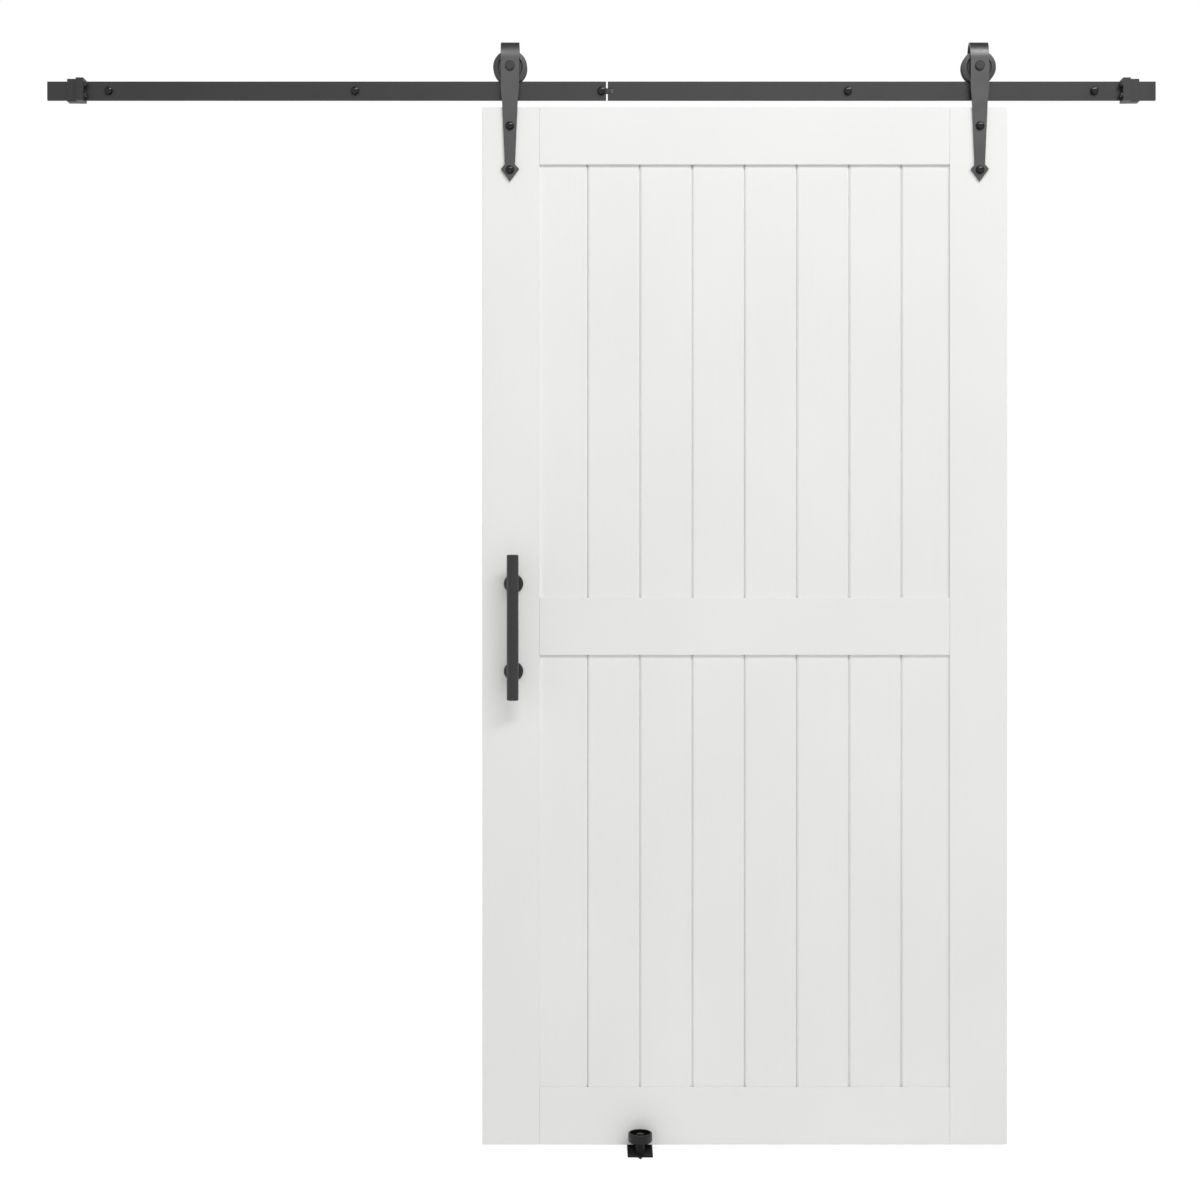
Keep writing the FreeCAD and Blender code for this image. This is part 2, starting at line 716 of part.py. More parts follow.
def make_stile(side, sign):
    """Upright of the door frame, grooved along its inner edge and drilled for its bolts."""
    body = new_body(f"{side}_stile")
    front, back = groove_band()
    inner = f"{-sign} * Sizes.stile_width"
    floor = f"{-sign} * (Sizes.stile_width - Sizes.panel_rebate)"
    sketch = sketch_on(body, "XY_Plane")
    draw_polygon(sketch, [
        ("0", "0"), (inner, "0"), (inner, front), (floor, front), (floor, back), (inner, back),
        (inner, "Sizes.door_thickness"), ("0", "Sizes.door_thickness"),
    ])
    pad(body, sketch, "Sizes.door_height")
    holes = sketch_on(body, "XZ_Plane")
    axle_up = "Sizes.door_height + Sizes.door_drop + Sizes.axle_height - Sizes.upper_bolt_drop"
    hanger_x = f"{-sign} * (Sizes.door_width - Sizes.hanger_spread) / 2"
    for up in (axle_up, f"{axle_up} - Sizes.bolt_pitch"):
        draw_circle(holes, "Sizes.door_bolt_radius + Sizes.door_bolt_fit", hanger_x, up)
    if side == "left":
        for shift in ("-Sizes.post_pitch / 2", "Sizes.post_pitch / 2"):
            up = f"Sizes.handle_height + {shift}"
            draw_circle(holes, "Sizes.handle_screw_radius + Sizes.door_bolt_fit", "Sizes.handle_inset", up)
    pocket(body, holes, "Sizes.door_thickness", backward=False)
    place(body, f"Sizes.door_offset + {sign} * Sizes.door_width / 2", DOOR_FRONT, DOOR_BOTTOM)


def make_cross_rail(label, base, groove_below, groove_above):
    """Horizontal rail of the door frame with a groove for the planks and a tenon at each end."""
    body = new_body(label)
    front, back = groove_band()
    height = "Sizes.cross_rail_height"
    bottom_groove = [
        (back, "0"), (back, "Sizes.panel_rebate"), (front, "Sizes.panel_rebate"), (front, "0"),
    ]
    top_groove = [
        (front, height), (front, f"{height} - Sizes.panel_rebate"),
        (back, f"{height} - Sizes.panel_rebate"), (back, height),
    ]
    outline = [("0", "0"), ("0", height)]
    outline += top_groove if groove_above else []
    outline += [("Sizes.door_thickness", height), ("Sizes.door_thickness", "0")]
    outline += bottom_groove if groove_below else []
    sketch = sketch_on(body, "YZ_Plane")
    draw_polygon(sketch, outline)
    pad(body, sketch, OPENING)

    tenon = "Sizes.panel_rebate - Sizes.panel_play"
    low = "Sizes.panel_rebate" if groove_below else "0"
    high = f"{height} - Sizes.panel_rebate" if groove_above else height
    sketch = sketch_on(body, "YZ_Plane", f"-({tenon})")
    draw_rectangle(sketch, "Sizes.panel_recess", low, "Sizes.panel_recess + Sizes.panel_thickness", high)
    pad(body, sketch, f"{OPENING} + 2 * ({tenon})")
    place(body, f"{DOOR_LEFT} + Sizes.stile_width", DOOR_FRONT, f"{DOOR_BOTTOM} + {base}")


def plank_line(index):
    """Where groove line number index runs, measured from the left stile's inner edge."""
    middle = f"({OPENING}) / 2"
    return f"{middle} + {index - PLANK_COUNT / 2} * Sizes.plank_pitch"


def plank_section(index):
    """Plan of one plank: bevelled where it meets its neighbour, tongue on the right, groove on the left."""
    reach = "(Sizes.panel_rebate - Sizes.panel_play)"
    thickness = "Sizes.panel_thickness"
    third = f"{thickness} / 3"
    play = "Sizes.panel_play"
    bevel = "Sizes.plank_bevel"
    if index == 0:
        left_side = [(f"-{reach}", thickness), (f"-{reach}", "0")]
    else:
        edge = f"{plank_line(index)} + Sizes.plank_gap / 2"
        floor = f"{edge} + Sizes.plank_tongue"
        left_side = [
            (edge, thickness), (edge, f"2 * {third} + {play}"), (floor, f"2 * {third} + {play}"),
            (floor, f"{third} - {play}"), (edge, f"{third} - {play}"), (edge, bevel), (f"{edge} + {bevel}", "0"),
        ]
    if index == PLANK_COUNT - 1:
        right_side = [(f"{OPENING} + {reach}", "0"), (f"{OPENING} + {reach}", thickness)]
    else:
        edge = f"{plank_line(index + 1)} - Sizes.plank_gap / 2"
        tip = f"{edge} + Sizes.plank_tongue"
        right_side = [
            (f"{edge} - {bevel}", "0"), (edge, bevel), (edge, third), (tip, third),
            (tip, f"2 * {third}"), (edge, f"2 * {third}"), (edge, thickness),
        ]
    return left_side + right_side


def make_planks(row_name, base, height):
    for index in range(PLANK_COUNT):
        body = new_body(f"{row_name}_plank_{index + 1}")
        sketch = sketch_on(body, "XY_Plane")
        draw_polygon(sketch, plank_section(index))
        pad(body, sketch, height)
        place(
            body,
            f"{DOOR_LEFT} + Sizes.stile_width",
            f"{DOOR_FRONT} + Sizes.panel_recess",
            f"{DOOR_BOTTOM} + {base}",
        )


def make_door():
    for side, sign in SIDES:
        make_stile(side, sign)
    top_base = "Sizes.door_height - Sizes.cross_rail_height"
    make_cross_rail("bottom_rail", "0", False, True)
    make_cross_rail("middle_rail", "Sizes.middle_rail_base", True, True)
    make_cross_rail("top_rail", top_base, True, False)
    rebate = "(Sizes.panel_rebate - Sizes.panel_play)"
    middle_top = "(Sizes.middle_rail_base + Sizes.cross_rail_height)"
    lower_height = f"Sizes.middle_rail_base - Sizes.cross_rail_height + 2 * {rebate}"
    upper_height = f"{top_base} - {middle_top} + 2 * {rebate}"
    make_planks("lower", f"Sizes.cross_rail_height - {rebate}", lower_height)
    make_planks("upper", f"{middle_top} - {rebate}", upper_height)


# ---------------------------------------------------------------- pull handle


def handle_place(up_shift="0"):
    return (
        f"{DOOR_LEFT} + Sizes.handle_inset",
        DOOR_FRONT,
        f"{DOOR_BOTTOM} + Sizes.handle_height + {up_shift}",
    )


def make_handle():
    half = "Sizes.handle_length / 2"
    bevel = "Sizes.handle_end_bevel"
    radius = "Sizes.handle_radius"
    bar = turned("handle_bar", [
        ("0", f"-{half}"), (f"{radius} - {bevel}", f"-{half}"), (radius, f"-({half} - {bevel})"),
        (radius, f"{half} - {bevel}"), (f"{radius} - {bevel}", half), ("0", half),
    ], along="Z")
    across, depth, up = handle_place()
    place(bar, across, f"{depth} - Sizes.handle_standoff", up)

    screw_bore = "Sizes.handle_screw_radius + Sizes.axle_fit"
    posts = turned("handle_posts", [
        (screw_bore, "0"),
        ("Sizes.rosette_radius", "0"),
        ("Sizes.rosette_radius", "-(Sizes.rosette_thickness - Sizes.rosette_bevel)"),
        ("Sizes.rosette_radius - Sizes.rosette_bevel", "-Sizes.rosette_thickness"),
        ("Sizes.post_radius", "-Sizes.rosette_thickness"),
        ("Sizes.post_radius", "-Sizes.handle_standoff"),
        ("0", "-Sizes.handle_standoff"),
        ("0", "-Sizes.handle_screw_depth"),
        (screw_bore, "-Sizes.handle_screw_depth"),
    ])
    seat = sketch_on(posts, "XY_Plane", "-Sizes.rosette_radius")
    draw_circle(seat, f"{radius} + Sizes.press_gap", "0", "-Sizes.handle_standoff")
    pocket(posts, seat, "2 * Sizes.rosette_radius", backward=True)
    repeat(posts, "Z_Axis", "Sizes.post_pitch", 2)
    place(posts, *handle_place("-Sizes.post_pitch / 2"))

    back = "Sizes.door_thickness"
    washer_face = f"{back} + Sizes.handle_washer_thickness"
    head_face = f"{washer_face} + Sizes.handle_screw_head_height"
    screws = turned("handle_screws", [
        ("0", "-(Sizes.handle_screw_depth - Sizes.handle_screw_play)"),
        ("Sizes.handle_screw_radius", "-(Sizes.handle_screw_depth - Sizes.handle_screw_play)"),
        ("Sizes.handle_screw_radius", back),
        ("Sizes.handle_washer_radius", back),
        ("Sizes.handle_washer_radius", washer_face),
        ("Sizes.handle_screw_head_radius", washer_face),
        ("Sizes.handle_screw_head_radius", head_face),
        ("0", head_face),
    ])
    repeat(screws, "Z_Axis", "Sizes.post_pitch", 2)
    place(screws, *handle_place("-Sizes.post_pitch / 2"))


# ---------------------------------------------------------------- floor guide


def make_guide_plate():
    """Plate under the door, bent up behind it; its own Y = 0 is the wall plane, Z = 0 the floor."""
    body = new_body("guide_base_plate")
    front = f"({GUIDE_Y} - Sizes.plate_front)"
    lip_back = "-Sizes.plate_wall_gap"
    lip_front = "-(Sizes.plate_wall_gap + Sizes.plate_thickness)"
    half = "Sizes.plate_width / 2"
    sketch = sketch_on(body, "YZ_Plane", f"-{half}")
    draw_polygon(sketch, [
        (front, "0"), (lip_back, "0"), (lip_back, "Sizes.plate_lip_height"),
        (lip_front, "Sizes.plate_lip_height"), (lip_front, "Sizes.plate_thickness"),
        (front, "Sizes.plate_thickness"),
    ])
    pad(body, sketch, "Sizes.plate_width")

    nib = sketch_on(body, "XY_Plane")
    nib_half = "Sizes.plate_nib_width / 2"
    draw_polygon(nib, [
        (f"-{nib_half}", front), (nib_half, front), ("0", f"{front} - Sizes.plate_nib_length"),
    ])
    pad(body, nib, "Sizes.plate_thickness")

    holes = sketch_on(body, "XY_Plane")
    for across in ("-Sizes.floor_hole_pitch / 2", "Sizes.floor_hole_pitch / 2"):
        draw_circle(holes, "Sizes.floor_hole_radius", across, "-Sizes.floor_hole_wall_gap")
    draw_circle(holes, "Sizes.guide_bolt_radius + Sizes.axle_fit", "0", GUIDE_Y)
    pocket(body, holes, "Sizes.plate_thickness", backward=True)
    place(body, "Sizes.guide_offset", "0", FLOOR)


def make_guide_roller():
    """Plain roller that turns on a flanged bush; Z is measured from the floor."""
    rounding = "Sizes.guide_round"
    base = "Sizes.guide_base"
    top = f"({base} + Sizes.guide_height)"
    recess = f"{top} - Sizes.guide_recess_depth"
    bore = "Sizes.bush_radius + Sizes.bush_fit"
    radius = "Sizes.guide_radius"
    body = turned("guide_roller", [
        (bore, base), (f"{radius} - {rounding}", base), (radius, f"{base} + {rounding}"),
        (radius, f"{top} - {rounding} / 2"), (f"{radius} - {rounding} / 2", top),
        ("Sizes.guide_recess_radius", top), ("Sizes.guide_recess_radius", recess), (bore, recess),
    ], along="Z")
    place(body, "Sizes.guide_offset", GUIDE_Y, FLOOR)


def make_guide_axle():
    bore = "Sizes.guide_bolt_radius + Sizes.guide_bolt_fit"
    gap = "Sizes.guide_clearance"
    flange = "Sizes.bush_flange"
    roller_floor = "Sizes.guide_base + Sizes.guide_height - Sizes.guide_recess_depth"
    post_top = f"Sizes.guide_base - {gap} - {flange}"
    bush_top = f"{roller_floor} + {gap}"
    washer_top = f"{bush_top} + Sizes.guide_washer_thickness"
    post = turned("guide_post", [
        (bore, "Sizes.plate_thickness"), ("Sizes.guide_post_bottom_radius", "Sizes.plate_thickness"),
        ("Sizes.guide_post_top_radius", post_top), (bore, post_top),
    ], along="Z")
    bush = turned("guide_bush", [
        (bore, post_top), ("Sizes.guide_washer_radius", post_top),
        ("Sizes.guide_washer_radius", f"{post_top} + {flange}"),
        ("Sizes.bush_radius", f"{post_top} + {flange}"), ("Sizes.bush_radius", bush_top), (bore, bush_top),
    ], along="Z")
    washer = turned("guide_washer", tube_profile(
        bore, "Sizes.guide_washer_radius", bush_top, washer_top), along="Z")
    bolt = turned("guide_bolt", [
        ("0", "Sizes.guide_bolt_lift"), ("Sizes.guide_bolt_radius", "Sizes.guide_bolt_lift"),
        ("Sizes.guide_bolt_radius", washer_top), ("0", washer_top),
    ], along="Z")
    head = bolt.newObject("PartDesign::AdditivePrism", "guide_bolt_head")
    head.Polygon = 6
    head.setExpression("Circumradius", "Sizes.guide_bolt_head_radius")
    head.setExpression("Height", "Sizes.guide_bolt_head_height")
    head.setExpression("Placement.Base.z", washer_top)
    for body in (post, bush, washer, bolt):
        place(body, "Sizes.guide_offset", GUIDE_Y, FLOOR)


def make_guide_glide():
    """Low-friction strip on the plate's lip, just behind the door."""
    body = new_body("guide_glide")
    half = "Sizes.glide_width / 2"
    back = "-(Sizes.plate_wall_gap + Sizes.plate_thickness)"
    sketch = sketch_on(body, "XY_Plane")
    draw_rectangle(sketch, f"-{half}", f"{back} - Sizes.glide_thickness", half, back)
    pad(body, sketch, "Sizes.glide_height")
    place(body, "Sizes.guide_offset", "0", f"{FLOOR} + Sizes.plate_lip_height - Sizes.glide_height")


# ---------------------------------------------------------------- assembly and export


def export_parts():
    """Check every object of the document, then write one file per body."""
    doc.recompute()
    for item in doc.Objects:
        if "Invalid" in item.State or "Error" in item.State:
            raise RuntimeError(f"{item.Label} did not build: {item.State}")
    bodies = [item for item in doc.Objects if item.TypeId == "PartDesign::Body"]
    for body in bodies:
        if body.Shape.isNull() or not body.Shape.isValid():
            raise RuntimeError(f"{body.Label} has no valid shape")
    os.makedirs("parts", exist_ok=True)
    for body in bodies:
        body.Shape.exportStep(os.path.join("parts", f"{body.Label}.step"))
        print(f"{body.Label}: {len(body.Shape.Solids)} solid(s), {body.Shape.Volume / 1000:.1f} cm3")
    print(f"{len(bodies)} bodies")


def main():
    make_rail()
    make_wall_rings("wall_spacers", "0", "Sizes.wall_gap", "Sizes.spacer_radius")
    make_wall_rings("wall_washers", RAIL_FRONT, "Sizes.wall_washer_thickness", "Sizes.wall_washer_radius")
    make_wall_screws()
    for side, sign in SIDES:
        make_stop(side, sign)
        make_strap(side, sign)
        make_wheel(side, sign)
        make_bearing_outer_ring(side, sign)
        make_bearing_balls(side, sign)
    make_axle_parts()
    make_door_bolts()
    make_door()
    make_handle()
    make_guide_plate()
    make_guide_roller()
    make_guide_axle()
    make_guide_glide()
    export_parts()


main()
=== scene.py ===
"""Looks of a sliding barn door on its wall rail: finishes, turned and bent pieces, studio."""

import json
import logging
import math
from dataclasses import dataclass, field
from enum import Enum
from typing import Iterable, Sequence

import bmesh
import bpy
from mathutils import Matrix, Vector


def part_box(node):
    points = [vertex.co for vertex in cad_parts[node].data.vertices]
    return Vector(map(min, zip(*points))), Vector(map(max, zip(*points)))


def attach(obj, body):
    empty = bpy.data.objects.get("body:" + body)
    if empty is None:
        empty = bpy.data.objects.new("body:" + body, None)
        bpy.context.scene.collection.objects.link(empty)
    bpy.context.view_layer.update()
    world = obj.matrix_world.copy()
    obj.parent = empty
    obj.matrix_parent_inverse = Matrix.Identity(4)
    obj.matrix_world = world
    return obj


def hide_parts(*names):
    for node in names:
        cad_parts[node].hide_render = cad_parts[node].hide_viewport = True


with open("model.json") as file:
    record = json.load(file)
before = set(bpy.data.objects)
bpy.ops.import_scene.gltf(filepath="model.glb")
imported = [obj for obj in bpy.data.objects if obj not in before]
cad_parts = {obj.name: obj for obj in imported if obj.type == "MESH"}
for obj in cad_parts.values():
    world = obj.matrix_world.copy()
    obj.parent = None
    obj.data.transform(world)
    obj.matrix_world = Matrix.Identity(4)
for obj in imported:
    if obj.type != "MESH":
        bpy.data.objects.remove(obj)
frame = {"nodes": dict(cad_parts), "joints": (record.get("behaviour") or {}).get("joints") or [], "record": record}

log = logging.getLogger("barn_door")

MM = 0.001
Profile = Sequence[tuple[float, float]]


class Axis(Enum):
    """Direction in which a turned or pressed piece lies."""

    X = "X"
    Y = "Y"
    Z = "Z"

    def upright_to(self) -> Matrix:
        """Turn from +Z to this axis."""
        turns = {
            Axis.X: Matrix.Rotation(math.radians(90), 4, "Y"),
            Axis.Y: Matrix.Rotation(math.radians(-90), 4, "X"),
            Axis.Z: Matrix.Identity(4),
        }
        return turns[self]


class Grain(Enum):
    """Which way a board's fibres run."""

    UPRIGHT = "upright"
    LEVEL = "level"


class Body(Enum):
    """Rigid groups of the model that the pieces ride on."""

    TRACK = "track"
    DOOR = "door"
    LEFT_WHEEL = "left_wheel_set"
    RIGHT_WHEEL = "right_wheel_set"
    ROLLER = "roller"


# ---------------------------------------------------------------- finishes


def linear(hex_colour: str) -> tuple[float, float, float, float]:
    """Turn an sRGB hex colour into linear values.

    Args:
        hex_colour: colour such as "#f2f2f0".

    Returns:
        Red, green, blue and alpha, linear.
    """
    channels = [int(hex_colour[place:place + 2], 16) / 255 for place in (1, 3, 5)]
    red, green, blue = [c / 12.92 if c <= 0.04045 else ((c + 0.055) / 1.055) ** 2.4 for c in channels]
    return red, green, blue, 1.0


def add_node(
    tree: bpy.types.NodeTree,
    kind: str,
    settings: dict[str, object] | None = None,
    links: dict[str, bpy.types.NodeSocket] | None = None,
) -> bpy.types.Node:
    """Add one node with its settings and incoming links.

    Args:
        tree: node tree that the node joins.
        kind: the node's type name.
        settings: values for input sockets, by name or number, or for the node's own properties.
        links: sockets to connect, by the input's name or number.

    Returns:
        The new node.
    """
    node = tree.nodes.new(kind)
    own = {name: value for name, value in (settings or {}).items() if hasattr(node, str(name))}
    for name, value in own.items():
        setattr(node, name, value)
    for name, value in (settings or {}).items():
        if name not in own:
            node.inputs[name].default_value = value
    for name, source in (links or {}).items():
        tree.links.new(source, node.inputs[name])
    return node


@dataclass(frozen=True)
class Finish:
    """A surface with one shader, whose grain and gloss each kind of finish adds."""

    name: str
    slot: str
    colour: str
    roughness: float
    specular: float = 0.5
    metallic: float = 0.0
    coat: float = 0.0

    def material(self) -> bpy.types.Material:
        """Find or make the finish's material."""
        found = bpy.data.materials.get(self.name)
        if found:
            return found
        made = bpy.data.materials.new(self.name)
        made.use_nodes = True
        tree = made.node_tree
        tree.nodes.clear()
        shader = add_node(tree, "ShaderNodeBsdfPrincipled", {
            "Base Color": linear(self.colour),
            "Roughness": self.roughness,
            "Specular IOR Level": self.specular,
            "Metallic": self.metallic,
            "Coat Weight": self.coat,
            "Coat Roughness": 0.08,
        })
        add_node(tree, "ShaderNodeOutputMaterial", links={"Surface": shader.outputs[0]})
        self.detail(tree, shader, add_node(tree, "ShaderNodeTexCoord").outputs["Object"])
        return made

    def detail(
        self, tree: bpy.types.NodeTree, shader: bpy.types.Node, place: bpy.types.NodeSocket
    ) -> None:
        """Add the surface's pattern.

        Args:
            tree: the material's node tree.
            shader: its principled shader.
            place: object coordinates in metres.
        """

    def noise(
        self,
        tree: bpy.types.NodeTree,
        place: bpy.types.NodeSocket,
        spacing: tuple[float, float, float],
        detail: float = 3.0,
    ) -> bpy.types.NodeSocket:
        """Noise whose bumps stand a real distance apart.

        Args:
            tree: the material's node tree.
            place: object coordinates in metres.
            spacing: distance between bumps along X, Y and Z, in millimetres.
            detail: levels of finer noise.

        Returns:
            The noise's value socket.
        """
        scale = tuple(1 / (distance * MM) for distance in spacing)
        mapped = add_node(tree, "ShaderNodeMapping", {"Scale": scale}, {"Vector": place})
        grain = add_node(
            tree, "ShaderNodeTexNoise", {"Scale": 1.0, "Detail": detail}, {"Vector": mapped.outputs[0]}
        )
        return grain.outputs[0]

    def tint(
        self,
        tree: bpy.types.NodeTree,
        shader: bpy.types.Node,
        factor: bpy.types.NodeSocket,
        darker: float,
    ) -> bpy.types.Node:
        """Let the colour drift between the finish's own and a darker one.

        Args:
            tree: the material's node tree.
            shader: its principled shader.
            factor: pattern from 0 to 1.
            darker: how much of the colour the dark side keeps.

        Returns:
            The mixing node.
        """
        full = linear(self.colour)
        low = tuple(channel * darker for channel in full[:3]) + (1.0,)
        mix = add_node(tree, "ShaderNodeMix", {"data_type": "RGBA"}, {0: factor})
        mix.inputs[6].default_value = low
        mix.inputs[7].default_value = full
        tree.links.new(mix.outputs[2], shader.inputs["Base Color"])
        return mix

    def bump(
        self,
        tree: bpy.types.NodeTree,
        shader: bpy.types.Node,
        heights: Iterable[tuple[bpy.types.NodeSocket, float]],
    ) -> None:
        """Stack height patterns, each with its depth in millimetres."""
        normal = None
        for height, depth in heights:
            links = {"Height": height} | ({"Normal": normal} if normal else {})
            node = add_node(tree, "ShaderNodeBump", {"Distance": depth * MM, "Strength": 1.0}, links)
            normal = node.outputs[0]
        tree.links.new(normal, shader.inputs["Normal"])

    def gloss(
        self,
        tree: bpy.types.NodeTree,
        shader: bpy.types.Node,
        factor: bpy.types.NodeSocket,
        spread: float,
    ) -> None:
        """Let the roughness vary by spread around its own value."""
        ranged = add_node(tree, "ShaderNodeMapRange", {
            "From Min": 0.3, "From Max": 0.7,
            "To Min": self.roughness - spread, "To Max": self.roughness + spread,
        }, {"Value": factor})
        tree.links.new(ranged.outputs[0], shader.inputs["Roughness"])


@dataclass(frozen=True)
class SprayedEnamel(Finish):
    """Solid wood under sprayed white enamel: the fibres show as faint long ripples under a fine orange peel."""

    grain: Grain = Grain.UPRIGHT

    def detail(self, tree, shader, place) -> None:
        """Long ripples along the fibres, fine orange peel, slow drift of tone."""
        across, along = 3.5, 170.0
        ripple_size = (across, across, along) if self.grain is Grain.UPRIGHT else (along, across, across)
        ripples = self.noise(tree, place, ripple_size, 4.0)
        drift = self.noise(tree, place, (260.0, 260.0, 420.0), 1.0)
        # Real orange peel is about 0.5 mm; it is drawn at 2.2 mm so that it shows.
        peel = self.noise(tree, place, (2.2, 2.2, 2.2), 1.0)
        both = add_node(tree, "ShaderNodeMath", {"operation": "MULTIPLY_ADD", 1: 0.35}, {0: ripples, 2: drift})
        spread = add_node(
            tree, "ShaderNodeMapRange", {"From Min": 0.45, "From Max": 0.95}, {"Value": both.outputs[0]}
        )
        self.tint(tree, shader, spread.outputs[0], 0.965)
        self.gloss(tree, shader, peel, 0.05)
        self.bump(tree, shader, [(ripples, 0.05), (peel, 0.02)])


@dataclass(frozen=True)
class PowderCoat(Finish):
    """Steel under baked powder: dark, satin, with a fine even texture that breaks up highlights."""

    def detail(self, tree, shader, place) -> None:
        """Fine pebbled texture and a slow drift of gloss."""
        # Real powder pebbles are about 0.3 mm; they are drawn at 0.9 mm so that they show.
        pebble = self.noise(tree, place, (0.9, 0.9, 0.9), 2.0)
        drift = self.noise(tree, place, (60.0, 60.0, 60.0), 2.0)
        self.tint(tree, shader, drift, 0.86)
        self.gloss(tree, shader, drift, 0.06)
        self.bump(tree, shader, [(pebble, 0.012)])


@dataclass(frozen=True)
class BlackOxide(Finish):
    """Oiled black oxide on turned steel: nearly black with small sharp glints."""

    def detail(self, tree, shader, place) -> None:
        """Slight mottling of the oxide film."""
        mottle = self.noise(tree, place, (4.0, 4.0, 4.0), 3.0)
        self.tint(tree, shader, mottle, 0.7)
        self.gloss(tree, shader, mottle, 0.06)
        self.bump(tree, shader, [(mottle, 0.008)])


@dataclass(frozen=True)
class ZincPlate(Finish):
    """Bright zinc on steel: metallic grey with a soft crystalline mottle."""

    def detail(self, tree, shader, place) -> None:
        """Mottle of the plating and faint turning marks."""
        mottle = self.noise(tree, place, (2.5, 2.5, 2.5), 4.0)
        self.tint(tree, shader, mottle, 0.8)
        self.gloss(tree, shader, mottle, 0.08)
        self.bump(tree, shader, [(mottle, 0.01)])


@dataclass(frozen=True)
class TurnedNylon(Finish):
    """Black nylon finished on a lathe: soft sheen and a fine even tooth."""

    def detail(self, tree, shader, place) -> None:
        """Fine tooth marks and slow drift of tone."""
        tooth = self.noise(tree, place, (1.2, 1.2, 1.2), 2.0)
        drift = self.noise(tree, place, (25.0, 25.0, 25.0), 1.0)
        self.tint(tree, shader, drift, 0.85)
        self.gloss(tree, shader, drift, 0.05)
        self.bump(tree, shader, [(tooth, 0.015)])


@dataclass(frozen=True)
class MouldedRubber(Finish):
    """Moulded black rubber: matt, slightly dusty."""

    def detail(self, tree, shader, place) -> None:
        """Dusty bloom over a fine moulded skin."""
        bloom = self.noise(tree, place, (6.0, 6.0, 6.0), 3.0)
        skin = self.noise(tree, place, (0.8, 0.8, 0.8), 1.0)
        self.tint(tree, shader, bloom, 0.75)
        self.gloss(tree, shader, bloom, 0.06)
        self.bump(tree, shader, [(skin, 0.015)])


ENAMEL_UPRIGHT = SprayedEnamel(
    "white_sprayed_enamel_upright", "painted_wood", "#f3f3f2", 0.42, 0.35, grain=Grain.UPRIGHT)
ENAMEL_LEVEL = SprayedEnamel(
    "white_sprayed_enamel_level", "painted_wood", "#f3f3f2", 0.42, 0.35, grain=Grain.LEVEL)
POWDER = PowderCoat("black_satin_powder_coat", "powder_coat", "#282828", 0.42, 0.45)
STRAP_POWDER = PowderCoat("black_satin_powder_coat_strap", "powder_coat", "#1e1e1e", 0.37, 0.95)
HANDLE_POWDER = PowderCoat("black_satin_powder_coat_pull", "powder_coat", "#242424", 0.36, 0.45)
# Painted shade: a darker, nearly unreflective copy of the black powder coat, so that the guide plate and post look
# as if they lie in the shadow of the roller and the door.
SHADED_GUIDE_POWDER = PowderCoat("black_powder_coat_guide_painted_shade", "powder_coat", "#242424", 0.50, 0.10)
FASTENER = BlackOxide("oiled_black_oxide_steel", "black_fasteners", "#0d0d0d", 0.18, 0.35)
ZINC = ZincPlate("zinc_plated_steel", "bare_steel", "#b4b6b8", 0.34, metallic=1.0)
NYLON = TurnedNylon("turned_black_nylon", "black_nylon", "#363636", 0.40, 0.5)
# Painted shade: a much darker, less glossy copy of the black nylon than the wheels get, so that the roller's side
# looks turned away from the light.
SHADED_ROLLER_NYLON = TurnedNylon("turned_black_nylon_roller_painted_shade", "black_nylon", "#101010", 0.24, 0.22)
RUBBER = MouldedRubber("moulded_black_rubber", "black_rubber", "#141414", 0.38, 0.5)


# ---------------------------------------------------------------- shaping


